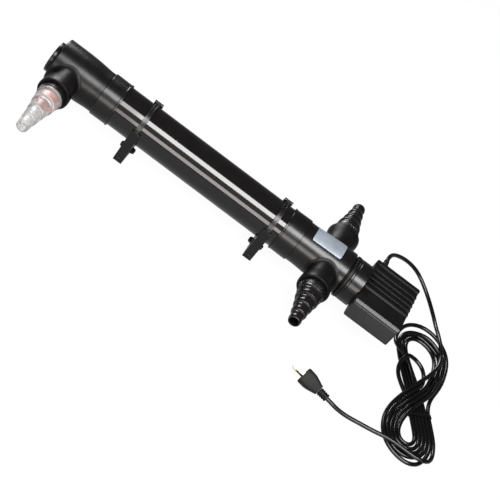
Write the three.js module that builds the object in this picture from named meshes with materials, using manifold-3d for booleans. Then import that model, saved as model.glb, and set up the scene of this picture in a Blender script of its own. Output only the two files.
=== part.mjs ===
// UV clarifier for a pond or aquarium: a black pipe with a head tee at one end, a cross tee and a
// ballast box at the other, three hose tails, two hinged pipe clips and a mains cord.
// Millimetres, +Z up. The pipe runs along X, the front ports look along -Y.
// Everything is modelled about the pipe's axis, and one outer group moves it so that the origin is
// under the middle of the object, on the surface that it stands on.
import * as THREE from "three";
import { mergeVertices } from "three/addons/utils/BufferGeometryUtils.js";
import Module from "manifold-3d";

const wasm = await Module();
wasm.setup();

// ---------------------------------------------------------------- driving dimensions
const GAP = 0.3; // clearance between neighbouring solids
const AXIS_HEIGHT = 55; // pipe axis above the surface
const ROUND = 24; // facets of a large turned piece
const SMALL_ROUND = 14; // facets of a small turned piece

// Pipe line: radii, and places along the pipe
const PIPE_R = 31.5;
const BORE_R = 28;
const SPIGOT_R = 31.4; // tee spigots that enter the collars
const COLLAR_BORE_R = PIPE_R + GAP;
const COLLAR_R = 33.8;
const PIPE_LEFT = -242.5;
const PIPE_RIGHT = 70.5;
const LEFT_COLLAR = [-257, -228];
const RIGHT_COLLAR = [57, 86];
const HEAD_TEE_LEFT = -336.8;
const CROSS_TEE_RIGHT = 166;
const TEE_R = 34.3;
const TEE_NECK_R = 32; // the tees draw in to this beside their collars

// Ports: distances are from the pipe's axis
const LEFT_PORT_X = -308;
const CROSS_PORT_X = 138.6;
const BRANCH_ROOT_R = 21.8;
const BRANCH_RIM_R = 24.4;
const BRANCH_LENGTH = 67;
const BRANCH_BORE_R = 18.2;
const PASSAGE_R = 16;
const RIM_OPENING_R = 20;
const RIM_DEPTH = 3.5;
const UNION_START = 50;
const UNION_END = 77;
const UNION_R = 19.2;
const UNION_BORE_R = 15.4;
const UNION_RIBS = 10;
const TAIL_START = 58;
const TAIL_SPIGOT_R = 15.1;
const CLEAR_TAIL_TIP = 158;
const BLACK_TAIL_TIP = 144;
const TAIL_STEPS = [17.4, 14.2, 11.8, 9.6]; // outer radius of each hose step

// End plug
const PLUG_FACE = -344;
const PLUG_HEAD_R = 23.8;
const PLUG_STEM_R = 21;

// Lamp unit
const ADAPTER_LEFT = 163.6;
const ADAPTER_SHOULDER = 174;
const ADAPTER_RIGHT = 195.5;
const ADAPTER_R = 33.3;
const ADAPTER_BORE_R = 21;
const LOCK_RING = [168.8, 173.7];
const SLEEVE_R = 22;
const SLEEVE_BORE_R = 20.3;
const SLEEVE = [-225, 163];
const LAMP = [-205, 150];
const LAMP_TUBE_R = 8.7;
const LAMP_TUBE_SPACING = 10.5;
const LAMP_BASE = [150.3, 176];
const SOCKET = [176.6, 192.4];

// Ballast box
const BOX = { left: 195.9, right: 271.5, half: 49, floor: -18, rim: 11.6, top: 17.4, wall: 2.4 };
const GASKET_THICKNESS = 1;
const RIB_COUNT = 6;
const RIB_PITCH = 10.6;
const RIB_WIDTH = 4.2;
const RIB_HEIGHT = 3.4;
const FIRST_RIB_Y = 39.8;
const CHAMFER = 4.2;
const PILLAR = 7;
const GLAND_X = 213;
const GLAND_Z = -2;

// Clips
const CLIP_X = [-186, 42];
const CLIP_WIDTH = 14;
const CLIP_BORE_R = 32.1;
const CLIP_R = 36.6;
const CLIP_HALF_BASE = 36;
const EAR_R = 4.6;
const EAR_X = 7.6;
const SCREW_HOLE_X = 9.4;
const STRAP_WIDTH = 7;
const CLIP_HINGE_R = 35.2;
const CLIP_HINGE_ANGLE = 50; // degrees above the back horizontal
const CLIP_LATCH_ANGLE = 170; // where the front arm ends
const KNUCKLE_R = 2.6;
const KNUCKLE_WIDTH = 4.6;
const HINGE_GAP = 5; // degrees between the hinge and the end of the arm or strap
const CLIP_PIN_R = 1;

// Mains cord
const CORD_R = 3.1;
const FLOOR = -AXIS_HEIGHT;
const RELIEF_END_Y = 86;
const CORD_RUN = [
  [213, 86.4, -2], [213, 94, -2.2], [214.8, 104.5, -4.2], [220, 116.5, -8.4], [229, 128, -14],
  [241, 140, -21.5], [256, 149, -29.5], [271, 153, -37.5], [285, 150, -44], [298, 142.5, -48.6],
  [310, 131, -51.1], [322, 115.5, -51.9], [332.5, 100.5, -51.9], [341.5, 87.5, -51.9],
];
const HANK_TOP = { x: 330, y: 22, r: 60 };
const HANK_BOTTOM = { x: 370, y: -142, r: 52 };
const HANK_HEIGHT = 18;
const CORD_LEAD = [
  [317, -168, -51.9], [303, -170.4, -51.9], [290, -173, -51.9], [277, -175.9, -51.5],
  [265, -178.3, -50], [254, -180.1, -47.4], [245.5, -180.6, -44.8], [238.3, -179.95, -43.85],
];
// The plug lies on a lower edge. Its axis runs from the cord towards the blades, angles in degrees.
const PLUG_AXIS = { x: 237.5, y: -179.8, z: -43.8, yaw: 169.2, pitch: -2.3, roll: -36 };
const RELIEF_R = 6; // of the boot on the cord, at its thin end
const PLUG_REAR = 15; // where the body starts, along the plug's axis
const PLUG_WAIST = 33; // where it stops widening
const PLUG_FRONT = 45.6;
const BLADE_SPACING = 12.7;
const BLADE_TIP = 63.4;

// ---------------------------------------------------------------- materials
function plastic(color, roughness) {
  return new THREE.MeshStandardMaterial({ color, roughness, metalness: 0 });
}
const glossBlack = plastic(0x0c0c0e, 0.16);
const satinBlack = plastic(0x17171a, 0.38);
const matteBlack = plastic(0x141315, 0.6);
const boxGrey = plastic(0x26262a, 0.5);
const coverBlack = plastic(0x111214, 0.55);
const cordBlack = plastic(0x101012, 0.3);
const plugGrey = plastic(0x2f3033, 0.55);
const rubberBlack = plastic(0x0d0d0d, 0.8);
const siliconeRed = plastic(0xd6452a, 0.5);
const ceramicWhite = plastic(0xe4e2dc, 0.5);
const boardGreen = plastic(0x1f6b3a, 0.6);
const capacitorBlue = plastic(0x2b3f7d, 0.4);
const leadWhite = plastic(0xd8d8d6, 0.6);
const labelSilver = new THREE.MeshStandardMaterial({ color: 0xc3cdd6, roughness: 0.35, metalness: 0.4 });
const steel = new THREE.MeshStandardMaterial({ color: 0xb8babd, roughness: 0.3, metalness: 1 });
const brass = new THREE.MeshStandardMaterial({ color: 0xcaa65c, roughness: 0.3, metalness: 1 });
const clearPlastic = new THREE.MeshStandardMaterial({
  color: 0xe6e9ea, roughness: 0.25, metalness: 0, transparent: true, opacity: 0.55,
});
const quartz = new THREE.MeshStandardMaterial({
  color: 0xf2f6f8, roughness: 0.05, metalness: 0, transparent: true, opacity: 0.3,
});

// ---------------------------------------------------------------- solids
function toSolid(geometry) {
  const bare = geometry.index ? geometry.toNonIndexed() : geometry.clone();
  bare.deleteAttribute("normal");
  bare.deleteAttribute("uv");
  const merged = mergeVertices(bare, 1e-4);
  const index = merged.index.array;
  const kept = [];
  for (let i = 0; i < index.length; i += 3) {
    const [a, b, c] = [index[i], index[i + 1], index[i + 2]];
    if (a !== b && b !== c && c !== a) kept.push(a, b, c);
  }
  return new wasm.Manifold(new wasm.Mesh({
    numProp: 3,
    vertProperties: merged.attributes.position.array,
    triVerts: new Uint32Array(kept),
  }));
}

function toGeometry(solid) {
  const mesh = solid.getMesh();
  const geometry = new THREE.BufferGeometry();
  geometry.setAttribute("position", new THREE.BufferAttribute(Float32Array.from(mesh.vertProperties), 3));
  geometry.setIndex(new THREE.BufferAttribute(Uint32Array.from(mesh.triVerts), 1));
  geometry.computeVertexNormals();
  return geometry;
}

function join(...geometries) {
  return toGeometry(geometries.map(toSolid).reduce((whole, next) => whole.add(next)));
}

function cut(geometry, ...tools) {
  return toGeometry(tools.map(toSolid).reduce((rest, tool) => rest.subtract(tool), toSolid(geometry)));
}

function common(first, second) {
  return toGeometry(toSolid(first).intersect(toSolid(second)));
}

const radians = THREE.MathUtils.degToRad;

// Turns a profile of [radius, height] points about the +Y axis, then points that axis another way.
function turned(profile, segments = ROUND, axis = "y") {
  let points = profile.map(([r, h]) => new THREE.Vector2(r, h));
  if (THREE.ShapeUtils.isClockWise(points)) points = points.reverse();
  const geometry = new THREE.LatheGeometry(points, segments);
  if (axis === "x") geometry.rotateZ(-Math.PI / 2);
  if (axis === "z") geometry.rotateX(Math.PI / 2);
  return geometry;
}

function rod(radius, from, to, segments = SMALL_ROUND, axis = "y") {
  return turned([[0, from], [radius, from], [radius, to], [0, to]], segments, axis);
}

function ring(outer, inner, from, to, segments = ROUND, axis = "y") {
  return turned([[inner, from], [outer, from], [outer, to], [inner, to], [inner, from]], segments, axis);
}

function block(x, y, z) {
  const geometry = new THREE.BoxGeometry(x[1] - x[0], y[1] - y[0], z[1] - z[0]);
  return geometry.translate((x[0] + x[1]) / 2, (y[0] + y[1]) / 2, (z[0] + z[1]) / 2);
}

// Turns what was drawn in (X, Y) and extruded along Z, so that it is drawn in (Y, Z) along X.
const ALONG_X = new THREE.Matrix4().makeBasis(
  new THREE.Vector3(0, 1, 0), new THREE.Vector3(0, 0, 1), new THREE.Vector3(1, 0, 0),
);

// Extrudes an outline drawn in (Y, Z) along X, centred on x = 0.
function extrudedAlongX(shape, width, curveSegments = 12) {
  const geometry = new THREE.ExtrudeGeometry(shape, { depth: width, bevelEnabled: false, curveSegments });
  return geometry.translate(0, 0, -width / 2).applyMatrix4(ALONG_X);
}

// A sector of a ring in (Y, Z), from one angle to another in degrees.
function sector(outer, inner, from, to) {
  const shape = new THREE.Shape();
  shape.absarc(0, 0, outer, radians(from), radians(to), false);
  shape.absarc(0, 0, inner, radians(to), radians(from), true);
  shape.closePath();
  return shape;
}

function tubeAlong(points, radius, sides, steps) {
  const curve = new THREE.CatmullRomCurve3(points.map(([x, y, z]) => new THREE.Vector3(x, y, z)));
  const section = new THREE.Shape();
  for (let i = 0; i < sides; i++) {
    const angle = (2 * Math.PI * i) / sides;
    const corner = [radius * Math.cos(angle), radius * Math.sin(angle)];
    if (i === 0) section.moveTo(...corner);
    else section.lineTo(...corner);
  }
  section.closePath();
  return new THREE.ExtrudeGeometry(section, { steps, extrudePath: curve, bevelEnabled: false });
}

// ---------------------------------------------------------------- scene graph
const clarifier = new THREE.Group();
const aboutAxis = new THREE.Group(); // its origin is on the pipe's axis
clarifier.add(aboutAxis);
const middleX = (PLUG_FACE + BOX.right) / 2;
const middleY = (BLACK_TAIL_TIP - CLEAR_TAIL_TIP) / 2;
aboutAxis.position.set(-middleX, -middleY, AXIS_HEIGHT);

function place(name, geometry, material, parent = aboutAxis) {
  const mesh = new THREE.Mesh(geometry, material);
  mesh.name = name;
  parent.add(mesh);
  return mesh;
}

// A group whose +Y axis points out of a port.
function portFrame(x, facesBack) {
  const frame = new THREE.Group();
  frame.position.x = x;
  if (!facesBack) frame.rotation.z = Math.PI;
  aboutAxis.add(frame);
  return frame;
}

// ---------------------------------------------------------------- pipe line
function branchOutside() {
  return turned([
    [0, 0], [BRANCH_ROOT_R, 0], [BRANCH_ROOT_R, 44], [BRANCH_RIM_R, 61],
    [BRANCH_RIM_R, BRANCH_LENGTH], [0, BRANCH_LENGTH],
  ]);
}

function branchInside() {
  const far = BRANCH_LENGTH + 5;
  return turned([
    [0, 0], [PASSAGE_R, 0], [PASSAGE_R, UNION_START - 4], [BRANCH_BORE_R, UNION_START - 4],
    [BRANCH_BORE_R, BRANCH_LENGTH - RIM_DEPTH], [RIM_OPENING_R, BRANCH_LENGTH - RIM_DEPTH],
    [RIM_OPENING_R, far], [0, far],
  ]);
}

function headTee() {
  const outside = turned([
    [0, HEAD_TEE_LEFT], [TEE_R - 5, HEAD_TEE_LEFT], [TEE_R - 1.4, HEAD_TEE_LEFT + 1.4],
    [TEE_R, HEAD_TEE_LEFT + 5], [TEE_R, -300], [TEE_R - 0.7, -284], [TEE_NECK_R, -266],
    [TEE_NECK_R, LEFT_COLLAR[0] - GAP], [SPIGOT_R, LEFT_COLLAR[0] - GAP],
    [SPIGOT_R, PIPE_LEFT - GAP], [0, PIPE_LEFT - GAP],
  ], ROUND, "x");
  const inside = turned([
    [0, HEAD_TEE_LEFT - 5], [PLUG_STEM_R + 0.4, HEAD_TEE_LEFT - 5],
    [PLUG_STEM_R + 0.4, HEAD_TEE_LEFT + 7], [BORE_R, HEAD_TEE_LEFT + 7],
    [BORE_R, PIPE_LEFT + 5], [0, PIPE_LEFT + 5],
  ], ROUND, "x");
  const branch = branchOutside().rotateZ(Math.PI).translate(LEFT_PORT_X, 0, 0);
  const passage = branchInside().rotateZ(Math.PI).translate(LEFT_PORT_X, 0, 0);
  return cut(join(outside, branch), inside, passage);
}

function crossTee() {
  const outside = turned([
    [0, PIPE_RIGHT + GAP], [SPIGOT_R, PIPE_RIGHT + GAP], [SPIGOT_R, RIGHT_COLLAR[1] + GAP],
    [TEE_NECK_R, RIGHT_COLLAR[1] + GAP], [TEE_NECK_R, 100], [TEE_R - 0.8, 124], [TEE_R, 140],
    [TEE_R, CROSS_TEE_RIGHT - 3], [TEE_R - 0.9, CROSS_TEE_RIGHT - 0.9],
    [TEE_R - 3, CROSS_TEE_RIGHT], [0, CROSS_TEE_RIGHT],
  ], ROUND, "x");
  const inside = rod(BORE_R, PIPE_RIGHT - 5, CROSS_TEE_RIGHT + 5, ROUND, "x");
  const front = branchOutside().rotateZ(Math.PI).translate(CROSS_PORT_X, 0, 0);
  const back = branchOutside().translate(CROSS_PORT_X, 0, 0);
  const frontPassage = branchInside().rotateZ(Math.PI).translate(CROSS_PORT_X, 0, 0);
  const backPassage = branchInside().translate(CROSS_PORT_X, 0, 0);
  return cut(join(outside, front, back), inside, frontPassage, backPassage);
}

// A coupling collar with a small lip at the end that faces the middle of the pipe.
function collar([left, right], lipAtRight) {
  const lip = COLLAR_R + 0.4;
  const profile = lipAtRight
    ? [[COLLAR_BORE_R, left], [COLLAR_R, left], [COLLAR_R - 0.3, right - 3], [lip, right - 2.4],
      [lip, right], [COLLAR_BORE_R, right], [COLLAR_BORE_R, left]]
    : [[COLLAR_BORE_R, left], [lip, left], [lip, left + 2.4], [COLLAR_R - 0.3, left + 3],
      [COLLAR_R, right], [COLLAR_BORE_R, right], [COLLAR_BORE_R, left]];
  return turned(profile, ROUND, "x");
}

place("main_tube", ring(PIPE_R, BORE_R, PIPE_LEFT, PIPE_RIGHT, ROUND, "x"), glossBlack);
place("head_tee", headTee(), satinBlack);
place("cross_tee", crossTee(), satinBlack);
place("left_collar", collar(LEFT_COLLAR, true), satinBlack);
place("right_collar", collar(RIGHT_COLLAR, false), satinBlack);

// Plain wrap-around label: a thin skin over the top of the cross tee.
function label() {
  const skin = turned([
    [TEE_NECK_R + 0.3, 100], [TEE_R - 0.5, 124], [TEE_R + 0.3, 140], [TEE_R + 0.3, 146],
    [TEE_R + 0.8, 146], [TEE_R + 0.8, 140], [TEE_R, 124], [TEE_NECK_R + 0.8, 100], [TEE_NECK_R + 0.3, 100],
  ], 56, "x");
  const window = new THREE.ExtrudeGeometry(sector(TEE_R + 8, 20, 62, 120), {
    depth: 60, bevelEnabled: false, curveSegments: 8,
  });
  return common(skin, window.applyMatrix4(ALONG_X).translate(95, 0, 0));
}
place("blank_label", label(), labelSilver);

// ---------------------------------------------------------------- end plug
const plugUnderside = HEAD_TEE_LEFT - 2.2;
const plug = cut(
  turned([
    [0, PLUG_FACE], [PLUG_HEAD_R - 2.6, PLUG_FACE], [PLUG_HEAD_R - 0.7, PLUG_FACE + 0.8],
    [PLUG_HEAD_R, PLUG_FACE + 2.6], [PLUG_HEAD_R, plugUnderside], [PLUG_STEM_R, plugUnderside],
    [PLUG_STEM_R, HEAD_TEE_LEFT + 12], [0, HEAD_TEE_LEFT + 12],
  ], ROUND, "x"),
  rod(19.5, PLUG_FACE - 1, PLUG_FACE + 1.6, ROUND, "x"),
  rod(18, HEAD_TEE_LEFT + 2, HEAD_TEE_LEFT + 13, ROUND, "x"),
);
const gripBar = block([PLUG_FACE + 0.3, PLUG_FACE + 2], [-18.5, 18.5], [-3, 3]);
place("end_plug", join(plug, gripBar), satinBlack);
place(
  "end_plug_seal",
  ring(PLUG_HEAD_R - 0.8, PLUG_STEM_R + GAP, plugUnderside + GAP, HEAD_TEE_LEFT - GAP, ROUND, "x"),
  rubberBlack,
);

// ---------------------------------------------------------------- unions and hose tails
function unionRing() {
  const body = turned([
    [UNION_BORE_R, UNION_START], [BRANCH_BORE_R - GAP, UNION_START],
    [BRANCH_BORE_R - GAP, BRANCH_LENGTH - RIM_DEPTH + GAP], [UNION_R, BRANCH_LENGTH - RIM_DEPTH + GAP],
    [UNION_R, UNION_END - 0.6], [UNION_R - 0.6, UNION_END], [UNION_BORE_R, UNION_END],
    [UNION_BORE_R, UNION_START],
  ]);
  const ribOutline = new THREE.Shape();
  const [valley, crest] = [UNION_R - 0.3, UNION_R + 0.7];
  for (let i = 0; i < UNION_RIBS; i++) {
    for (const [radius, part] of [[valley, 0], [crest, 0.25], [crest, 0.5], [valley, 0.75]]) {
      const angle = (2 * Math.PI * (i + part)) / UNION_RIBS;
      const corner = [radius * Math.cos(angle), radius * Math.sin(angle)];
      if (i === 0 && part === 0) ribOutline.moveTo(...corner);
      else ribOutline.lineTo(...corner);
    }
  }
  ribOutline.closePath();
  const bore = new THREE.Path();
  bore.absarc(0, 0, UNION_R - 2, 0, 2 * Math.PI, true);
  ribOutline.holes.push(bore);
  const ribs = new THREE.ExtrudeGeometry(ribOutline, { depth: 8, bevelEnabled: false, curveSegments: 8 });
  ribs.rotateX(-Math.PI / 2).translate(0, BRANCH_LENGTH + 0.8, 0);
  return join(body, ribs);
}

// Hose steps, each with a barb, from the flange to the tip.
function hoseTail(tip) {
  const flangeStart = UNION_END + GAP;
  const stepsStart = flangeStart + 3.5;
  const stepLength = (tip - stepsStart) / TAIL_STEPS.length;
  const outside = [
    [TAIL_SPIGOT_R, TAIL_START], [TAIL_SPIGOT_R, flangeStart], [UNION_R, flangeStart], [UNION_R, stepsStart],
  ];
  TAIL_STEPS.forEach((radius, step) => {
    const start = stepsStart + step * stepLength;
    outside.push([radius - 0.9, start], [radius, start + 3], [radius - 0.9, start + stepLength]);
  });
  const seatEnd = 93.5;
  const inside = [[6.9, tip], [12.2, seatEnd], [14.4, seatEnd], [14.4, 79], [12.8, 79], [12.8, TAIL_START]];
  return turned([...outside, ...inside, outside[0]], SMALL_ROUND);
}

// Silicone sleeve that sits in the mouth of the tail.
function tailSeal() {
  return ring(14.1, 11.2, 79.4, 93, SMALL_ROUND);
}

const ports = [
  { name: "left", x: LEFT_PORT_X, facesBack: false, tip: CLEAR_TAIL_TIP, tailMaterial: clearPlastic },
  { name: "front", x: CROSS_PORT_X, facesBack: false, tip: BLACK_TAIL_TIP, tailMaterial: matteBlack },
  { name: "rear", x: CROSS_PORT_X, facesBack: true, tip: BLACK_TAIL_TIP, tailMaterial: matteBlack },
];
for (const port of ports) {
  const frame = portFrame(port.x, port.facesBack);
  place(`${port.name}_union_ring`, unionRing(), matteBlack, frame);
  place(`${port.name}_hose_tail`, hoseTail(port.tip), port.tailMaterial, frame);
  place(`${port.name}_tail_seal`, tailSeal(), siliconeRed, frame);
}

// ---------------------------------------------------------------- pipe clips
const hingeAngle = radians(CLIP_HINGE_ANGLE);
const hingeY = CLIP_HINGE_R * Math.cos(hingeAngle);
const hingeZ = CLIP_HINGE_R * Math.sin(hingeAngle);

// The short bridge from the hinge's knuckle to the arm on one side and the strap on the other.
function neckSector(side) {
  const ends = [side, side * (HINGE_GAP + 2)].map((turn) => CLIP_HINGE_ANGLE + turn).sort((a, b) => a - b);
  return sector(CLIP_HINGE_R + 1.3, CLIP_HINGE_R - 1.7, ...ends);
}

function clipBase() {
  const armEnd = radians(CLIP_HINGE_ANGLE - HINGE_GAP);
  const latchEnd = radians(CLIP_LATCH_ANGLE);
  const outline = new THREE.Shape();
  outline.moveTo(-CLIP_HALF_BASE, FLOOR);
  outline.lineTo(CLIP_HALF_BASE, FLOOR);
  outline.absarc(0, 0, CLIP_R, 0, armEnd, false);
  outline.absarc(0, 0, CLIP_BORE_R, armEnd, latchEnd - 2 * Math.PI, true);
  outline.absarc(0, 0, CLIP_R, latchEnd, Math.PI, false);
  outline.closePath();
  const webHalf = 5;
  const wallInside = CLIP_HALF_BASE - 5;
  const windowFloor = FLOOR + 6;
  for (const side of [1, -1]) {
    const high = Math.atan2(-Math.sqrt(CLIP_R ** 2 - wallInside ** 2), side * wallInside);
    const low = Math.atan2(-Math.sqrt(CLIP_R ** 2 - webHalf ** 2), side * webHalf);
    const window = new THREE.Path();
    window.moveTo(side * webHalf, windowFloor);
    window.lineTo(side * wallInside, windowFloor);
    window.absarc(0, 0, CLIP_R, high, low, side > 0);
    window.closePath();
    outline.holes.push(window);
  }
  const body = extrudedAlongX(outline, CLIP_WIDTH, 14);
  const ears = [1, -1].map((side) => (
    rod(EAR_R, FLOOR, FLOOR + 5, SMALL_ROUND, "z").translate(side * EAR_X, 0, 0)
  ));
  const screwHoles = [1, -1].map((side) => (
    rod(1.9, FLOOR - 1, FLOOR + 12, 8, "z").translate(side * SCREW_HOLE_X, 0, 0)
  ));
  const lugInside = KNUCKLE_WIDTH / 2 + GAP;
  const lugWidth = CLIP_WIDTH / 2 - lugInside;
  const lugs = [1, -1].flatMap((side) => {
    const middle = side * (lugInside + lugWidth / 2);
    return [
      rod(KNUCKLE_R, -lugWidth / 2, lugWidth / 2, 10, "x").translate(middle, hingeY, hingeZ),
      extrudedAlongX(neckSector(-1), lugWidth, 4).translate(middle, 0, 0),
    ];
  });
  const pinHole = rod(CLIP_PIN_R + GAP, -10, 10, 8, "x").translate(0, hingeY, hingeZ);
  const knuckleRoom = rod(KNUCKLE_R + GAP, -lugInside, lugInside, 10, "x").translate(0, hingeY, hingeZ);
  return cut(join(body, ...ears, ...lugs), pinHole, knuckleRoom, ...screwHoles);
}

function clipStrap() {
  const band = extrudedAlongX(
    sector(CLIP_R, CLIP_BORE_R, CLIP_HINGE_ANGLE + HINGE_GAP, CLIP_LATCH_ANGLE - 1.5), STRAP_WIDTH, 10,
  );
  const knuckle = rod(KNUCKLE_R, -KNUCKLE_WIDTH / 2, KNUCKLE_WIDTH / 2, 10, "x").translate(0, hingeY, hingeZ);
  const neck = extrudedAlongX(neckSector(1), KNUCKLE_WIDTH, 4);
  const thumbTab = extrudedAlongX(
    sector(CLIP_R + 1.6, CLIP_R - 1, CLIP_LATCH_ANGLE - 6, CLIP_LATCH_ANGLE - 2), STRAP_WIDTH - 3, 4,
  );
  const pinHole = rod(CLIP_PIN_R + GAP, -10, 10, 8, "x").translate(0, hingeY, hingeZ);
  return cut(join(band, knuckle, neck, thumbTab), pinHole);
}

["left", "right"].forEach((side, index) => {
  const clip = new THREE.Group();
  clip.position.x = CLIP_X[index];
  aboutAxis.add(clip);
  place(`${side}_clip_base`, clipBase(), satinBlack, clip);
  place(`${side}_clip_strap`, clipStrap(), satinBlack, clip);
  const pin = rod(CLIP_PIN_R, -CLIP_WIDTH / 2, CLIP_WIDTH / 2, 8, "x").translate(0, hingeY, hingeZ);
  place(`${side}_clip_pin`, pin, steel, clip);
});

// ---------------------------------------------------------------- quartz sleeve and its holders
const sleeveDome = SLEEVE[0] + 12;
place(
  "quartz_sleeve",
  turned([
    [0, SLEEVE[0]], [SLEEVE_R * 0.6, SLEEVE[0] + 2.4], [SLEEVE_R, sleeveDome], [SLEEVE_R, SLEEVE[1]],
    [SLEEVE_BORE_R, SLEEVE[1]], [SLEEVE_BORE_R, sleeveDome + 1],
    [SLEEVE_BORE_R * 0.6, SLEEVE[0] + 4.6], [0, SLEEVE[0] + 2.2],
  ], SMALL_ROUND, "x"),
  quartz,
);

function sleeveSupport() {
  const hub = ring(SLEEVE_R + 2.2, SLEEVE_R + GAP, -208, -202, SMALL_ROUND, "x");
  const fins = [90, 210, 330].map((angle) => (
    block([-208, -202], [SLEEVE_R + 1.5, BORE_R - 0.6], [-1.5, 1.5]).rotateX(radians(angle))
  ));
  return join(hub, ...fins);
}
place("sleeve_support", sleeveSupport(), ceramicWhite);
place(
  "sleeve_seal",
  ring(BORE_R - GAP, SLEEVE_R + GAP, 156.5, ADAPTER_LEFT - GAP, SMALL_ROUND, "x"),
  rubberBlack,
);

// ---------------------------------------------------------------- lamp unit
function lampAdapter() {
  const outside = turned([
    [0, ADAPTER_LEFT], [BORE_R - GAP, ADAPTER_LEFT], [BORE_R - GAP, ADAPTER_SHOULDER],
    [ADAPTER_R, ADAPTER_SHOULDER], [ADAPTER_R, ADAPTER_RIGHT - 1.2],
    [ADAPTER_R - 1.2, ADAPTER_RIGHT], [0, ADAPTER_RIGHT],
  ], ROUND, "x");
  const lampBore = rod(ADAPTER_BORE_R, ADAPTER_LEFT - 2, SOCKET[1] + GAP, SMALL_ROUND, "x");
  const wireWay = block([SOCKET[1] - 1, ADAPTER_RIGHT + 2], [-12, 12], [-8, 8]);
  return cut(outside, lampBore, wireWay);
}
place("lamp_adapter", lampAdapter(), satinBlack);
place("lock_ring", ring(ADAPTER_R + 0.4, BORE_R, LOCK_RING[0], LOCK_RING[1], ROUND, "x"), satinBlack);
place(
  "adapter_gasket",
  ring(BORE_R + 2.6, BORE_R, CROSS_TEE_RIGHT + GAP, LOCK_RING[0] - GAP, ROUND, "x"),
  rubberBlack,
);

// A bar with round ends in (Y, Z), as the lamp's base and its socket are.
function stadium(halfLength, radius) {
  const shape = new THREE.Shape();
  shape.absarc(halfLength, 0, radius, -Math.PI / 2, Math.PI / 2, false);
  shape.absarc(-halfLength, 0, radius, Math.PI / 2, Math.PI * 1.5, false);
  shape.closePath();
  return shape;
}

function barAlongX(shape, [left, right]) {
  return extrudedAlongX(shape, right - left, 8).translate((left + right) / 2, 0, 0);
}

function lampTubes() {
  const tubes = [1, -1].map((side) => (
    turned([
      [0, LAMP[0]], [LAMP_TUBE_R * 0.7, LAMP[0] + 2.2], [LAMP_TUBE_R, LAMP[0] + 7],
      [LAMP_TUBE_R, LAMP[1]], [0, LAMP[1]],
    ], 16, "x").translate(0, side * LAMP_TUBE_SPACING, 0)
  ));
  const bridge = block([LAMP[0] + 8, LAMP[0] + 16], [-LAMP_TUBE_SPACING, LAMP_TUBE_SPACING], [-4, 4]);
  return join(...tubes, bridge);
}
place("uv_lamp", lampTubes(), quartz);
const contactPins = [-9, -3, 3, 9].map((y) => (
  rod(1.2, LAMP_BASE[1] - 1, LAMP_BASE[1] + 6, 8, "x").translate(0, y, 0)
));
place("lamp_base", join(barAlongX(stadium(9.7, 9.4), LAMP_BASE), ...contactPins), ceramicWhite);
const pinPocket = block([SOCKET[0] - 1, SOCKET[0] + 8], [-12, 12], [-3, 3]);
place("lamp_socket", cut(barAlongX(stadium(9.7, 9.4), SOCKET), pinPocket), ceramicWhite);

// ---------------------------------------------------------------- ballast box
const boxMiddleX = (BOX.left + BOX.right) / 2;
const pillarX = [BOX.left + BOX.wall + PILLAR / 2 - 0.5, BOX.right - BOX.wall - PILLAR / 2 + 0.5];
const pillarY = BOX.half - BOX.wall - PILLAR / 2 + 0.5;
const pillars = pillarX.flatMap((x) => [[x, -pillarY], [x, pillarY]]);

function ballastHousing() {
  const outline = block([BOX.left, BOX.right], [-BOX.half, BOX.half], [BOX.floor, BOX.rim]);
  const cavity = block(
    [BOX.left + BOX.wall, BOX.right - BOX.wall],
    [-BOX.half + BOX.wall, BOX.half - BOX.wall],
    [BOX.floor + BOX.wall, BOX.rim + 2],
  );
  const posts = pillars.map(([x, y]) => (
    block([x - PILLAR / 2, x + PILLAR / 2], [y - PILLAR / 2, y + PILLAR / 2], [BOX.floor + 1, BOX.rim])
  ));
  const wireWay = block([BOX.left - 2, BOX.left + BOX.wall + 1], [-12, 12], [-8, 8]);
  const glandHole = rod(5.6, BOX.half - 4, BOX.half + 2, SMALL_ROUND, "y").translate(GLAND_X, 0, GLAND_Z);
  const screwHoles = pillars.flatMap(([x, y]) => [
    rod(1.9, BOX.floor - 1, BOX.rim + 1, 8, "z").translate(x, y, 0),
    rod(3.1, BOX.floor - 1, BOX.floor + 2.6, 10, "z").translate(x, y, 0),
  ]);
  return cut(join(cut(outline, cavity), ...posts), wireWay, glandHole, ...screwHoles);
}

const coverBase = BOX.rim + GASKET_THICKNESS + 2 * GAP;
function ballastCover() {
  const outline = new THREE.Shape();
  outline.moveTo(-BOX.half, coverBase);
  outline.lineTo(BOX.half, coverBase);
  outline.lineTo(BOX.half, BOX.top + RIB_HEIGHT - 1);
  outline.lineTo(BOX.half - 1, BOX.top + RIB_HEIGHT);
  for (let rib = 0; rib < RIB_COUNT; rib++) {
    const back = FIRST_RIB_Y - rib * RIB_PITCH + RIB_WIDTH / 2;
    const front = back - (rib === 0 ? 0 : RIB_WIDTH);
    const nextBack = FIRST_RIB_Y - (rib + 1) * RIB_PITCH + RIB_WIDTH / 2;
    if (rib > 0) outline.lineTo(back - 0.6, BOX.top + RIB_HEIGHT);
    outline.lineTo(front + 0.6, BOX.top + RIB_HEIGHT);
    outline.lineTo(front, BOX.top);
    if (rib < RIB_COUNT - 1) outline.lineTo(nextBack, BOX.top);
  }
  outline.lineTo(-BOX.half + CHAMFER, BOX.top);
  outline.lineTo(-BOX.half, coverBase + 0.6);
  outline.closePath();
  const body = extrudedAlongX(outline, BOX.right - BOX.left).translate(boxMiddleX, 0, 0);
  const screwHoles = pillars.map(([x, y]) => (
    rod(1.9, coverBase - 1, coverBase + 3, 8, "z").translate(x, y, 0)
  ));
  return cut(body, ...screwHoles);
}

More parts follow.
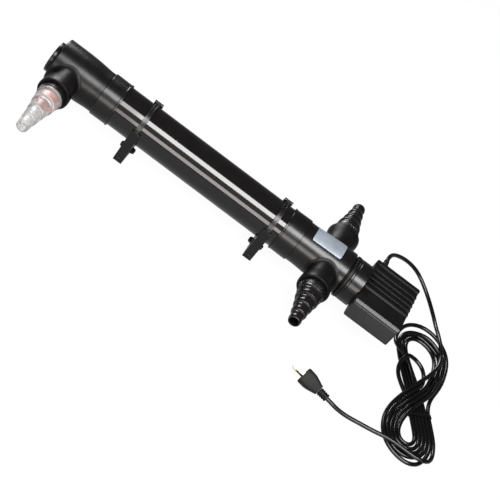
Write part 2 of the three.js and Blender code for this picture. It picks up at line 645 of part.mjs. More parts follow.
function coverGasket() {
  const inset = 0.4;
  const low = BOX.rim + GAP;
  const outer = block(
    [BOX.left + inset, BOX.right - inset],
    [-BOX.half + inset, BOX.half - inset],
    [low, low + GASKET_THICKNESS],
  );
  const inner = block(
    [BOX.left + BOX.wall, BOX.right - BOX.wall],
    [-BOX.half + BOX.wall, BOX.half - BOX.wall],
    [low - 1, low + 3],
  );
  const corners = pillars.map(([x, y]) => (
    block([x - PILLAR / 2, x + PILLAR / 2], [y - PILLAR / 2, y + PILLAR / 2], [low, low + GASKET_THICKNESS])
  ));
  const holes = pillars.map(([x, y]) => rod(1.9, low - 1, low + 3, 8, "z").translate(x, y, 0));
  return cut(join(cut(outer, inner), ...corners), ...holes);
}

place("ballast_housing", ballastHousing(), boxGrey);
place("cover_gasket", coverGasket(), rubberBlack);
place("ballast_cover", ballastCover(), coverBlack);
pillars.forEach(([x, y], index) => {
  const screw = turned([
    [0, BOX.floor + 0.5], [2.7, BOX.floor + 0.5], [2.7, BOX.floor + 2.2], [1.5, BOX.floor + 2.2],
    [1.5, coverBase + 2.6], [0, coverBase + 2.6],
  ], 8, "z");
  place(`cover_screw_${index + 1}`, screw.translate(x, y, 0), steel);
});

// Ballast parts stand on the floor of the box.
const boxFloor = BOX.floor + BOX.wall + GAP;
place("circuit_board", block([216, 262], [-38, 4], [boxFloor + 2, boxFloor + 3.6]), boardGreen);
const boardTop = boxFloor + 3.6 + GAP;
place("choke", block([232, 258], [-34, -12], [boardTop, boardTop + 17]), steel);
place("capacitor", rod(6.2, 228, 250, 16, "x").translate(0, -4, boardTop + 6.3), capacitorBlue);
place("terminal_block", block([226, 240], [12, 34], [boxFloor, boxFloor + 11]), ceramicWhite);
[-1, 1].forEach((side, index) => {
  const lead = tubeAlong([
    [SOCKET[1] + GAP, side * 5, 0], [203, side * 5, -1], [212, 8 + side * 4, -4],
    [219, 20 + side * 5, -8], [225.6, 23 + side * 5, -9],
  ], 1.1, 6, 6);
  place(`lamp_lead_${index + 1}`, lead, leadWhite);
});

// ---------------------------------------------------------------- cable gland and cord
const gland = new THREE.Group();
gland.position.set(GLAND_X, 0, GLAND_Z);
aboutAxis.add(gland);
const glandFace = BOX.half + GAP;
place("cable_gland", turned([
  [3.4, 40], [5.2, 40], [5.2, glandFace], [8.2, glandFace], [8.2, glandFace + 3.4],
  [6, glandFace + 3.4], [6, 57], [3.4, 57], [3.4, 40],
], SMALL_ROUND), matteBlack, gland);
place("gland_nut", turned([
  [6.4, glandFace + 3.8], [8.8, glandFace + 3.8], [8.8, 58.6], [7.4, 60.4], [4.4, 60.4], [4.4, 57.6],
  [6.4, 57.6], [6.4, glandFace + 3.8],
], SMALL_ROUND), matteBlack, gland);
place("strain_relief", turned([
  [0, 57.9], [4.1, 57.9], [4.1, 61], [5.2, 61.2], [5.2, 66], [3.9, RELIEF_END_Y], [0, RELIEF_END_Y],
], SMALL_ROUND), rubberBlack, gland);

place("power_cord_run", tubeAlong(CORD_RUN, CORD_R, 8, 22), cordBlack);
place("power_cord_lead", tubeAlong(CORD_LEAD, CORD_R, 8, 10), cordBlack);

// Where the tie goes round the waist of the hank, in a notch across it. The angle is in degrees.
const TIE = { x: 365, y: -89, angle: 33, halfLength: 20, halfWidth: 3.5, thickness: 1.6, seat: 7 };

function alongTie(solid) {
  return solid.rotateZ(radians(TIE.angle)).translate(TIE.x, TIE.y, FLOOR);
}

// The hank: the outer shape of the wound turns, broad at one end.
function hank() {
  const dx = HANK_BOTTOM.x - HANK_TOP.x;
  const dy = HANK_BOTTOM.y - HANK_TOP.y;
  const along = Math.atan2(dy, dx);
  const side = Math.acos((HANK_TOP.r - HANK_BOTTOM.r) / Math.hypot(dx, dy));
  const outline = new THREE.Shape();
  outline.absarc(HANK_TOP.x, HANK_TOP.y, HANK_TOP.r, along + side, along + 2 * Math.PI - side, false);
  outline.absarc(HANK_BOTTOM.x, HANK_BOTTOM.y, HANK_BOTTOM.r, along - side, along + side, false);
  outline.closePath();
  const turns = new THREE.ExtrudeGeometry(outline, {
    depth: HANK_HEIGHT, bevelEnabled: false, curveSegments: 16,
  }).translate(0, 0, FLOOR);
  const notchHalf = TIE.halfWidth + 1;
  const notch = block([-90, 90], [-notchHalf, notchHalf], [TIE.seat, HANK_HEIGHT + 1]);
  return cut(turns, alongTie(notch));
}
place("cord_hank", hank(), cordBlack);
const tieBand = block(
  [-TIE.halfLength, TIE.halfLength], [-TIE.halfWidth, TIE.halfWidth],
  [TIE.seat + GAP, TIE.seat + GAP + TIE.thickness],
);
place("cord_tie", alongTie(tieBand), rubberBlack);

// ---------------------------------------------------------------- plug
const plugFrame = new THREE.Group(); // its +X axis points from the cord to the blades
plugFrame.position.set(PLUG_AXIS.x, PLUG_AXIS.y, PLUG_AXIS.z);
plugFrame.rotation.set(radians(PLUG_AXIS.roll), radians(PLUG_AXIS.pitch), radians(PLUG_AXIS.yaw), "ZYX");
aboutAxis.add(plugFrame);
place("plug_relief", turned([
  [0, 0], [RELIEF_R, 0], [RELIEF_R + 0.5, PLUG_REAR - GAP], [0, PLUG_REAR - GAP],
], 16, "x"), rubberBlack, plugFrame);

// The body's outline from the side: it widens from half a rear height to half a front height.
function plugOutline(halfRear, halfFront) {
  const outline = new THREE.Shape();
  outline.moveTo(PLUG_REAR, -halfRear);
  outline.lineTo(PLUG_WAIST, -halfFront);
  outline.lineTo(PLUG_FRONT, -halfFront);
  outline.lineTo(PLUG_FRONT, halfFront);
  outline.lineTo(PLUG_WAIST, halfFront);
  outline.lineTo(PLUG_REAR, halfRear);
  outline.closePath();
  return outline;
}

function plugBody() {
  const [halfWidth, halfHeight, chamfer] = [12, 9.5, 4];
  const deep = { depth: 30, bevelEnabled: false };
  const wide = new THREE.ExtrudeGeometry(plugOutline(7.5, halfWidth), deep).translate(0, 0, -15);
  const tall = new THREE.ExtrudeGeometry(plugOutline(6.5, halfHeight), deep).translate(0, 0, -15);
  const section = new THREE.Shape();
  section.moveTo(halfWidth, halfHeight - chamfer);
  section.lineTo(halfWidth - chamfer, halfHeight);
  section.lineTo(chamfer - halfWidth, halfHeight);
  section.lineTo(-halfWidth, halfHeight - chamfer);
  section.lineTo(-halfWidth, chamfer - halfHeight);
  section.lineTo(chamfer - halfWidth, -halfHeight);
  section.lineTo(halfWidth - chamfer, -halfHeight);
  section.lineTo(halfWidth, chamfer - halfHeight);
  section.closePath();
  const bar = extrudedAlongX(section, 2 * PLUG_FRONT + 10);
  const slots = [1, -1].map((side) => (
    block([40, 47], [-3.6, 3.6], [side * BLADE_SPACING / 2 - 1.1, side * BLADE_SPACING / 2 + 1.1])
  ));
  return cut(common(common(wide, tall.rotateX(Math.PI / 2)), bar), ...slots);
}
place("plug_body", plugBody(), plugGrey, plugFrame);
[1, -1].forEach((side, index) => {
  const z = side * BLADE_SPACING / 2;
  const blade = block([40.4, BLADE_TIP], [-3.2, 3.2], [z - 0.75, z + 0.75]);
  place(`plug_blade_${index + 1}`, blade, brass, plugFrame);
});

export default clarifier;
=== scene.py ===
"""UV clarifier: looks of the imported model. Lengths are in millimetres about the pipe's axis, as in
the CAD source, and at() turns them into metres in the row frame."""
import math

import bmesh
import bpy
import numpy as np
from mathutils import Matrix, Vector


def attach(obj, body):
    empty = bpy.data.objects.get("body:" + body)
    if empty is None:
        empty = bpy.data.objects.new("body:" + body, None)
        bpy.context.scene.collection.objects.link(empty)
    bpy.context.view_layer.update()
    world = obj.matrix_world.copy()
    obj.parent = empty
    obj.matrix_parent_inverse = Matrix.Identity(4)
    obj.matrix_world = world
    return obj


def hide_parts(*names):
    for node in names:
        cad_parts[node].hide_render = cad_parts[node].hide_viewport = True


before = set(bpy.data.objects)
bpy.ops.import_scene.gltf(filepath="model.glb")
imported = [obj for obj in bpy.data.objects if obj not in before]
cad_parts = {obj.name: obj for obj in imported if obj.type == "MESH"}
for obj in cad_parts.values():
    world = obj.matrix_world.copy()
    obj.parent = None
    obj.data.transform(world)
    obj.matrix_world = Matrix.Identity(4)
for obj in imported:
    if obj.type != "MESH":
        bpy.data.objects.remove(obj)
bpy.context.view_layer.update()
scene = bpy.context.scene

# ------------------------------------------------------------------ dimensions, as in the CAD
AXIS_AT = Vector((36.25, 7.0, 55.0))  # the pipe's axis in the row frame
MM = 0.001
FLOOR = -55.0
PIPE_R, BORE_R = 31.5, 28.0
PIPE = (-242.5, 70.5)
COLLAR_R, COLLAR_BORE_R = 33.8, 31.8
TEE_LIP_R = 31.4  # inside the sleeve end of each tee
LEFT_COLLAR, RIGHT_COLLAR = (-257.0, -228.0), (57.0, 86.0)
HEAD_TEE_LEFT, CROSS_TEE_RIGHT = -336.8, 166.0
TEE_R, TEE_NECK_R = 34.3, 32.0
LEFT_PORT_X, CROSS_PORT_X = -308.0, 138.6
BRANCH_ROOT_R, BRANCH_RIM_R, BRANCH_LENGTH = 21.8, 24.4, 67.0
BRANCH_BORE_R, PASSAGE_R = 18.2, 16.0
RIM_OPENING_R, RIM_DEPTH = 20.0, 3.5
UNION_START, UNION_END, UNION_R = 50.0, 77.0, 19.2
TAIL_STEPS = (17.4, 14.2, 11.8, 9.6)
CLEAR_TAIL_TIP, BLACK_TAIL_TIP = 158.0, 144.0
PLUG_FACE, PLUG_HEAD_R, PLUG_STEM_R = -344.0, 23.8, 21.0
ADAPTER_R, ADAPTER_LEFT, ADAPTER_SHOULDER, ADAPTER_RIGHT = 33.3, 163.6, 174.0, 195.5
SOCKET_RIGHT = 192.4
LOCK_RING = (168.8, 173.7)
BOX_LEFT, BOX_RIGHT, BOX_HALF, BOX_WALL = 195.9, 271.5, 49.0, 2.4
BOX_FLOOR, BOX_RIM, BOX_TOP = -18.0, 11.6, 17.4
COVER_BASE, CHAMFER = 13.2, 4.2
RIB_COUNT, RIB_PITCH, RIB_WIDTH, RIB_HEIGHT, FIRST_RIB_Y = 6, 10.6, 4.2, 3.4, 39.8
GLAND_X, GLAND_Z, RELIEF_END_Y = 213.0, -2.0, 86.0
CLIP_X = (-186.0, 42.0)
CLIP_BORE_R, CLIP_R, CLIP_HALF_BASE, CLIP_WIDTH, STRAP_WIDTH = 32.1, 36.6, 36.0, 14.0, 7.0
HINGE_R, HINGE_ANGLE, HINGE_GAP, LATCH_ANGLE = 35.2, 50.0, 5.0, 170.0
KNUCKLE_R, PIN_R, PIN_HOLE_R = 2.55, 1.0, 1.25
EAR_R, EAR_X, SCREW_HOLE_X = 4.55, 7.6, 9.4
PLUG_AT = Vector((237.5, -179.8, -43.8))  # where the cord goes in
PLUG_TURN = (
    Matrix.Rotation(math.radians(169.2), 3, "Z")
    @ Matrix.Rotation(math.radians(-2.3), 3, "Y")
    @ Matrix.Rotation(math.radians(-36.0), 3, "X")
)
PLUG_REAR, BLADE_SPACING, BLADE_TIP = 15.0, 12.7, 63.4
TIE_AT, TIE_ANGLE = Vector((365.0, -89.0)), 33.0
CORD_R = 3.1

TURNED_SEGMENTS = 128


def at(x, y, z):
    """A point about the pipe's axis, in metres in the row frame."""
    return (Vector((x, y, z)) + AXIS_AT) * MM


# ------------------------------------------------------------------ camera
CAMERA_AT = Vector((-0.0531, -1.7556, 1.5063))
CAMERA_RIGHT, CAMERA_BACK = Vector((0.7986, 0.3579, 0.4839)), Vector((-0.0563, -0.7560, 0.6521))
LENS, SENSOR_WIDTH = 116.64, 36.0


def make_camera():
    right = CAMERA_RIGHT.normalized()
    back = CAMERA_BACK.normalized()
    up = back.cross(right).normalized()
    right = up.cross(back)
    data = bpy.data.cameras.new("Camera")
    data.lens = LENS
    data.sensor_width = SENSOR_WIDTH
    data.clip_end = 50.0
    camera = bpy.data.objects.new("Camera", data)
    axes = Matrix((right, up, back)).transposed().to_4x4()
    camera.matrix_world = Matrix.Translation(CAMERA_AT) @ axes
    scene.collection.objects.link(camera)
    scene.camera = camera


make_camera()


# ------------------------------------------------------------------ cord
CORD_RUN = [
    (213, 86.4, -2), (213, 94, -2.2), (214.8, 104.5, -4.2), (220, 116.5, -8.4), (229, 128, -14),
    (241, 140, -21.5), (256, 149, -29.5), (271, 153, -37.5), (285, 150, -44), (298, 142.5, -48.6),
    (310, 131, -51.1), (320, 118, -51.9),
]
# The lower folds of the second to fourth turn share a middle.
FOLD_AT = (363.3, -138.8)
FOLD_ANGLES = (180, 204, 228, 252, 276, 300, 324, 346, 368, 393)


def lower_fold(radius):
    return [
        (round(FOLD_AT[0] + radius * math.cos(math.radians(angle)), 1),
         round(FOLD_AT[1] + radius * math.sin(math.radians(angle)), 1), 0)
        for angle in FOLD_ANGLES
    ]


# Five turns and the last run of the hank. The third number is how far the strand starts above the
# floor, in diameters.
HANK_ROUTE = [
    (329, 104, 0), (336, 90, 0.3), (341, 73, 1.3), (346, 60, 1.8), (351, 50, 1.9), (355, 41, 1.8),
    (359, 31, 1.6), (361, 14, 1.5), (360, -3, 1.5), (350, -29, 1.3), (337, -60, 1.1), (326, -89, 0.5),
    (320, -114, 0.2), (320, -134, 0), (325, -152, 0), (331, -163, 0), (341, -175, 0), (354, -180, 0),
    (369, -184, 0), (383, -183, 0), (395, -176, 0), (401, -165, 0), (403, -151, 0), (400, -140, 0),
    (402, -121, 0), (394, -110, 0), (387, -99, 0), (379, -87, 0), (370, -74, 0), (361, -61, 0),
    (352, -49, 0), (343, -39, 0), (335, -29, 0), (327, -18, 0), (319, -8, 0), (309, 5, 0), (303, 11, 0),
    (298, 20, 0), (298, 29, 0), (302, 38, 0), (309, 47, 0), (319, 50, 0), (329, 50, 0), (340, 48, 0),
    (350, 43, 0), (357, 34, 0), (360, 23, 0.1), (361, 11, 0.3), (364, -8, 0.4), (362, -33, 1),
    (348, -64, 1), (338, -92, 0.5), (332.5, -116, 0), *lower_fold(31.4), (385.7, -115.8, 0),
    (378, -105, 0), (370, -93, 0), (362, -79, 0), (354, -66, 0), (346, -54, 0), (337, -44, 0),
    (329, -33, 0), (321, -22, 0), (313, -11, 0), (304, 2, 0), (298, 9, 0), (292, 19, 0), (292, 31, 0),
    (297, 42, 0), (305, 52, 0), (318, 57, 0), (330, 56, 0), (343, 53, 0), (363, 46, 0), (366, 28, 0.1),
    (367, 11, 0.3), (370, -9, 0.4), (367, -35, 1), (354, -67, 1), (343, -94, 0.6), (338.6, -117, 0),
    *lower_fold(25.1), (379.6, -118.2, 0), (372, -108, 0), (365, -96, 0),
    (357, -82, 0), (349, -69, 0), (341, -58, 0), (332, -48, 0), (324, -37, 0), (316, -26, 0), (308, -15, 0),
    (299, -2, 0), (293, 6, 0), (289, 19, 0.5), (291, 31, 0.9), (298, 41, 0.9), (307, 49, 0.9),
    (318, 54, 0.9), (330, 56, 0.9), (343, 53, 0.5), (369, 48, 0), (372, 29, 0.1), (373, 11, 0.3),
    (376, -10, 0.4), (373, -37, 1), (359, -69, 1), (349, -96, 0.7), (345, -118, 0.2),
    *lower_fold(18.8), (374, -121, 0),
    (366, -112, 0), (359, -100, 0), (350, -87, 0),
    (342, -74, 0), (334, -65, 0), (326, -58, 0.2), (317, -51, 0.6), (309, -42, 1),
    (304, -31, 1.3), (304, -18, 1.3), (309, -5, 1.2), (318, 5, 0.9), (329, 9, 0.4), (340, 7, 0.1),
    (349, 0, 0), (354, -12, 0.2), (355, -31, 0.9), (343, -62, 1), (332, -91, 0.6), (327, -114, 0),
    (326, -133, 0),
    (330, -150, 0), (340, -166, 0), (355, -176, 0), (372, -175, 0), (386, -167, 0), (396, -154, 0),
    (401, -138, 0), (396, -124, 0), (389, -113, 0), (382, -102, 0), (374, -90, 0), (365, -77, 0.3),
    (357, -64, 0.6), (348, -53, 1), (339, -42, 1), (331, -32, 1), (323, -21, 1), (314, -11, 1.1),
    (301, -1, 1.2), (288, 1, 1.4), (285, 18, 1.1), (285, 38, 0.6), (290, 57, 0.1), (300, 69, 0),
    (313, 77, 0), (325, 80, 0), (337, 79, 0), (348, 74, 0), (359, 68, 0), (367, 58, 0), (372, 54, 0),
    (376, 41, 0), (378, 27, 0), (377, 9, 0), (374, -12, 0.3), (371, -33, 0.6), (370, -52, 0.8),
    (372, -66, 0.6), (376, -79, 0.3), (384, -91, 0.1), (392, -102, 0.2), (400, -114, 0.2),
    (406, -125, 0.8), (411, -136, 1.2), (413, -148, 1.5), (409, -160, 1.6), (398, -168, 1.6),
    (385, -169, 1.6), (372, -167, 1.5), (358, -166, 1.2), (347, -166.5, 1.1), (337, -167, 1),
    (328, -167, 0.6),
]
CORD_LEAD = [
    (317, -168, -51.9), (303, -170.4, -51.9), (290, -173, -51.9), (277, -175.9, -51.5), (265, -178.3, -50),
    (254, -180.1, -47.4), (245.5, -180.6, -44.8), (238.3, -179.95, -43.85),
]
CORD_STEP = 3.0  # between points of the settled cord
FIXED_START, FIXED_END = 285, 60  # millimetres at each end that settling leaves alone
SETTLE_ROUNDS, CONTACT_ROUNDS = 220, 3
FLAT_FROM = 0.85  # the part of the rounds after which gravity stops
GRAVITY, HOME_PULL, STIFFNESS, WIDE_STIFFNESS = 0.10, 0.02, 0.32, 0.5
CONTACT_SKIN, CONTACT_REACH, CONTACT_SKIP = 0.05, 22, 6
PUSH, PUSH_GAIN = 0.42, 1.3


def smooth_path(points, step):
    """Points a fixed step apart on a Catmull-Rom curve through the given ones."""
    points = np.array(points, float)
    ends = np.vstack([2 * points[0] - points[1], points, 2 * points[-1] - points[-2]])
    fine = []
    for a, b, c, d in zip(ends, ends[1:], ends[2:], ends[3:]):
        for t in np.linspace(0, 1, 12, endpoint=False):
            fine.append(0.5 * (2 * b + (c - a) * t + (2 * a - 5 * b + 4 * c - d) * t**2
                               + (3 * b - a - 3 * c + d) * t**3))
    fine = np.array(fine + [points[-1]])
    along = np.concatenate([[0], np.cumsum(np.linalg.norm(np.diff(fine, axis=0), axis=1))])
    places = np.linspace(0, along[-1], int(round(along[-1] / step)) + 1)
    return np.column_stack([np.interp(places, along, fine[:, k]) for k in range(3)])


def settle(path, fixed):
    """Lays the cord down: strands push each other apart to a diameter, and rest on the floor."""
    home = path.copy()
    count = len(path)
    free = np.ones((count, 1))
    free[:fixed[0]] = 0
    free[count - fixed[1]:] = 0
    index = np.arange(count)
    diameter = 2 * CORD_R + CONTACT_SKIN
    later = index[None, :] - index[:, None] > CONTACT_SKIP
    spread = np.linalg.norm(home[:, None, :2] - home[None, :, :2], axis=2)
    near_rows, near_columns = np.nonzero(later & (spread < CONTACT_REACH))
    lowest = FLOOR + CORD_R
    for round_number in range(SETTLE_ROUNDS):
        move = np.zeros_like(path)
        late = round_number > SETTLE_ROUNDS * FLAT_FROM
        # gravity, and a pull back to the drawn route
        move[:, 2] -= 0.0 if late else GRAVITY
        move[:, :2] += HOME_PULL * (home - path)[:, :2]
        # stiffness
        bend = np.zeros_like(path)
        bend[1:-1] = (path[:-2] + path[2:]) / 2 - path[1:-1]
        bend[2:-2] += WIDE_STIFFNESS * ((path[:-4] + path[4:]) / 2 - path[2:-2])
        move += STIFFNESS * bend
        path = path + free * move
        # contact between strands
        for _ in range(CONTACT_ROUNDS):
            gap = path[near_rows] - path[near_columns]
            gap[:, 2] += 1e-6
            distance = np.linalg.norm(gap, axis=1)
            touching = distance < diameter
            overlap = (diameter - distance[touching])[:, None]
            push = gap[touching] / distance[touching, None] * overlap * PUSH
            total = np.zeros_like(path)
            hits = np.zeros((count, 1))
            np.add.at(total, near_rows[touching], push)
            np.add.at(total, near_columns[touching], -push)
            np.add.at(hits, near_rows[touching], 1)
            np.add.at(hits, near_columns[touching], 1)
            path = path + free * total / np.maximum(hits, 1) * PUSH_GAIN
            path[:, 2] = np.maximum(path[:, 2], lowest)
    return path


def cord_path():
    diameters = 2 * CORD_R
    hank = [(x, y, FLOOR + CORD_R + diameters * over) for x, y, over in HANK_ROUTE]
    run = smooth_path(CORD_RUN + hank + CORD_LEAD, CORD_STEP)
    return settle(run, (int(FIXED_START / CORD_STEP), int(FIXED_END / CORD_STEP)))


def curve_through(name, points, radius, material):
    data = bpy.data.curves.new(name, "CURVE")
    data.dimensions = "3D"
    data.bevel_depth = radius * MM
    data.bevel_resolution = 6
    data.use_fill_caps = True
    spline = data.splines.new("POLY")
    spline.points.add(len(points) - 1)
    for point, place in zip(spline.points, points):
        point.co = (*at(*place), 1)
    spline.use_smooth = True
    data.materials.append(material)
    obj = bpy.data.objects.new(name, data)
    scene.collection.objects.link(obj)
    return obj


# ------------------------------------------------------------------ materials
TONE_SCALE, GLOSS_SCALE, BUMP_DISTANCE = 45.0, 110.0, 0.0004


def principled(name, color, roughness, **sockets):
    material = bpy.data.materials.new(name)
    material.use_nodes = True
    shader = material.node_tree.nodes["Principled BSDF"]
    shader.inputs["Base Color"].default_value = (*color, 1)
    shader.inputs["Roughness"].default_value = roughness
    for socket, value in sockets.items():
        shader.inputs[socket.replace("_", " ")].default_value = value
    return material, shader


def node(tree, kind, **sockets):
    """A shader node with some of its inputs set. An underscore stands for a space."""
    made = tree.nodes.new("ShaderNode" + kind)
    for socket, value in sockets.items():
        made.inputs[socket.replace("_", " ")].default_value = value
    return made


def ramp_between(tree, source, low, high, start=0.3, end=0.7):
    ramp = node(tree, "ValToRGB")
    ramp.color_ramp.elements[0].position = start
    ramp.color_ramp.elements[0].color = (*low, 1)
    ramp.color_ramp.elements[1].position = end
    ramp.color_ramp.elements[1].color = (*high, 1)
    tree.links.new(source, ramp.inputs["Fac"])
    return ramp.outputs["Color"]


def noise(tree, scale, detail, stretch=None):
    texture = node(tree, "TexNoise", Scale=scale, Detail=detail)
    source = node(tree, "TexCoord").outputs["Object"]
    if stretch:
        mapping = node(tree, "Mapping", Scale=stretch)
        tree.links.new(source, mapping.inputs["Vector"])
        source = mapping.outputs["Vector"]
    tree.links.new(source, texture.inputs["Vector"])
    return texture.outputs["Fac"]


def moulded(name, color, roughness, grain=900.0, depth=0.02, vary=0.25, spread=0.05, stretch=None, **sockets):
    """Moulded plastic or rubber: blotchy tone, uneven gloss and a fine surface grain."""
    material, shader = principled(name, color, roughness, **sockets)
    tree = material.node_tree
    low = tuple(c * (1 - vary) for c in color)
    high = tuple(min(1.0, c * (1 + vary)) for c in color)
    tone = ramp_between(tree, noise(tree, TONE_SCALE, 5.0), low, high)
    tree.links.new(tone, shader.inputs["Base Color"])
    gloss = node(tree, "MapRange", To_Min=max(0.02, roughness - spread), To_Max=roughness + spread)
    tree.links.new(noise(tree, GLOSS_SCALE, 3.0), gloss.inputs["Value"])
    tree.links.new(gloss.outputs["Result"], shader.inputs["Roughness"])
    bump = node(tree, "Bump", Strength=depth, Distance=BUMP_DISTANCE)
    tree.links.new(noise(tree, grain, 2.0, stretch), bump.inputs["Height"])
    tree.links.new(bump.outputs["Normal"], shader.inputs["Normal"])
    return material


PIPE_GLOSS = moulded("pipe_gloss", (0.0030, 0.0024, 0.0024), 0.085, grain=35.0, depth=0.02, spread=0.02,
                     stretch=(0.15, 1, 1))
SATIN_BLACK = moulded("satin_black", (0.0024, 0.0020, 0.0020), 0.25, grain=700.0, depth=0.04,
                      Specular_IOR_Level=0.36)
DULL_SATIN = moulded("dull_satin_black", (0.0024, 0.0020, 0.0020), 0.30, grain=700.0, depth=0.04,
                     Specular_IOR_Level=0.24)
BRANCH_BLACK = moulded("branch_black", (0.0024, 0.0020, 0.0020), 0.42, grain=1100.0, depth=0.08,
                       Specular_IOR_Level=0.14)
MATTE_BLACK = moulded("matte_black", (0.0026, 0.0021, 0.0021), 0.36, grain=1400.0, depth=0.10,
                      Specular_IOR_Level=0.40)
TAIL_BLACK = moulded("tail_black", (0.0026, 0.0021, 0.0021), 0.22, grain=900.0, depth=0.05)
BOX_GREY = moulded("box_grey", (0.0065, 0.0065, 0.0072), 0.42, grain=2400.0, depth=0.10)
COVER_BLACK = moulded("cover_black", (0.0014, 0.0014, 0.0014), 0.34, grain=2200.0, depth=0.10,
                      Specular_IOR_Level=0.32)
STRAP_SATIN = moulded("strap_satin", (0.0030, 0.0026, 0.0026), 0.28, grain=1100.0, depth=0.06,
                      Specular_IOR_Level=0.42)
CORD_GLOSS = moulded("cord_gloss", (0.0010, 0.0009, 0.0009), 0.23, grain=260.0, depth=0.05,
                     Specular_IOR_Level=0.35)
PLUG_GREY = moulded("plug_grey", (0.0030, 0.0030, 0.0033), 0.60, grain=2600.0, depth=0.15,
                    Specular_IOR_Level=0.17)
RUBBER = moulded("black_rubber", (0.0012, 0.0012, 0.0012), 0.48, grain=1800.0, depth=0.2,
                 Specular_IOR_Level=0.13)
SILICONE = moulded("silicone_red", (0.44, 0.034, 0.006), 0.45, vary=0.12, Subsurface_Weight=0.10)
CERAMIC = moulded("white_plastic", (0.78, 0.77, 0.73), 0.42, vary=0.03)
BOARD = moulded("board_green", (0.015, 0.12, 0.035), 0.5, grain=500.0, depth=0.1)
CAPACITOR = moulded("capacitor_blue", (0.02, 0.05, 0.22), 0.3, vary=0.08)
LEAD_WHITE = moulded("lead_white", (0.72, 0.72, 0.70), 0.4, vary=0.04)
STEEL = moulded("steel", (0.62, 0.62, 0.63), 0.28, vary=0.06, grain=300.0, depth=0.05, stretch=(1, 12, 1),
                Metallic=1.0)
# painted shade: a darker copy of the blade metal, given to the blades' edge faces
BLADE_EDGE_SHADE = moulded("blade_edge_painted_shade", (0.03, 0.028, 0.02), 0.45, vary=0.1, grain=300.0, depth=0.03, Metallic=1.0)
BRASS = moulded("blade_metal", (0.32, 0.28, 0.18), 0.26, vary=0.05, grain=300.0, depth=0.03, Metallic=1.0)
LABEL = moulded("label_foil", (0.42, 0.475, 0.54), 0.34, vary=0.16, grain=130.0, depth=0.12,
                stretch=(1, 9, 9), Metallic=0.75)
CLEAR = moulded("frosted_clear", (0.85, 0.845, 0.845), 0.25, vary=0.03, grain=420.0, depth=0.10,
                Transmission_Weight=0.90, IOR=1.40)
QUARTZ = moulded("quartz", (0.97, 0.985, 1.0), 0.04, vary=0.01, grain=60.0, depth=0.01, spread=0.02,
                 Transmission_Weight=1.0, IOR=1.46)


# ------------------------------------------------------------------ mesh helpers
def piece(name, verts, faces, material, body, stands_for=(), sharp=32):
    """A mesh piece from points in millimetres about the pipe's axis."""
    mesh = bpy.data.meshes.new(name)
    mesh.from_pydata([at(*v) for v in verts], [], faces)
    obj = bpy.data.objects.new(name, mesh)
    scene.collection.objects.link(obj)
    clean(obj, sharp)
    mesh.materials.append(material)
    if body:
        dress(obj, body, stands_for)
    return obj


def dress(obj, body, stands_for=()):
    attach(obj, body)
    if stands_for:
        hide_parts(*stands_for)
    return obj


def clean(obj, sharp=32):
    mesh = obj.data
    work = bmesh.new()
    work.from_mesh(mesh)
    bmesh.ops.remove_doubles(work, verts=work.verts, dist=2e-6)
    bmesh.ops.dissolve_degenerate(work, edges=work.edges, dist=1e-7)
    bmesh.ops.recalc_face_normals(work, faces=work.faces)
    work.to_mesh(mesh)
    work.free()
    mesh.shade_smooth()
    mesh.set_sharp_from_angle(angle=math.radians(sharp))


def apply_modifiers(obj, sharp=32):
    bpy.context.view_layer.update()
    graph = bpy.context.evaluated_depsgraph_get()
    made = bpy.data.meshes.new_from_object(obj.evaluated_get(graph))
    obj.modifiers.clear()
    obj.data = made
    clean(obj, sharp)


def bevel(obj, width, segments=3, angle=35, sharp=32):
    modifier = obj.modifiers.new("bevel", "BEVEL")
    modifier.width = width * MM
    modifier.segments = segments
    modifier.limit_method = "ANGLE"
    modifier.angle_limit = math.radians(angle)
    modifier.harden_normals = False
    apply_modifiers(obj, sharp)
    return obj


def combine(obj, tools, operation="DIFFERENCE", sharp=32):
    for tool in tools:
        modifier = obj.modifiers.new("boolean", "BOOLEAN")
        modifier.operation = operation
        modifier.solver = "EXACT"
        modifier.object = tool
    apply_modifiers(obj, sharp)
    for tool in tools:
        bpy.data.objects.remove(tool)
    return obj


def merge(objects):
    """Joins finished meshes of one material each into the first one."""
    work = bmesh.new()
    materials = objects[0].data.materials
    for obj in objects:
        own = obj.data.materials[0]
        if own.name not in materials:
            materials.append(own)
        slot = materials.find(own.name)
        for face in obj.data.polygons:
            face.material_index = slot
        work.from_mesh(obj.data)
    work.to_mesh(objects[0].data)
    work.free()
    for obj in objects[1:]:
        bpy.data.objects.remove(obj)
    mesh = objects[0].data
    mesh.shade_smooth()
    mesh.set_sharp_from_angle(angle=math.radians(32))
    return objects[0]


def rounded(profile, steps=5):
    """A closed outline of (a, b, fillet) corners as plain points, with its corners rounded."""
    points = []
    count = len(profile)
    for i, corner in enumerate(profile):
        a, b = corner[:2]
        fillet = corner[2] if len(corner) > 2 else 0
        here = Vector((a, b))
        before = Vector(profile[i - 1][:2]) - here
        after = Vector(profile[(i + 1) % count][:2]) - here
        reach = min(fillet, before.length * 0.49, after.length * 0.49)
        if reach < 1e-6:
            points.append((a, b))
            continue
        start, end = here + before.normalized() * reach, here + after.normalized() * reach
        for k in range(steps + 1):
            t = k / steps
            spot = start * (1 - t) ** 2 + here * 2 * t * (1 - t) + end * t**2
            points.append((spot.x, spot.y))
    return points


def joined(count, pairs):
    """Faces between rings of count points each, for every pair of ring numbers."""
    return [
        (a * count + k, a * count + (k + 1) % count, b * count + (k + 1) % count, b * count + k)
        for a, b in pairs for k in range(count)
    ]


def round_pairs(count):
    return [(k, (k + 1) % count) for k in range(count)]


def extruded_faces(count):
    caps = [tuple(range(count)), tuple(range(2 * count - 1, count - 1, -1))]
    return caps + joined(count, [(0, 1)])


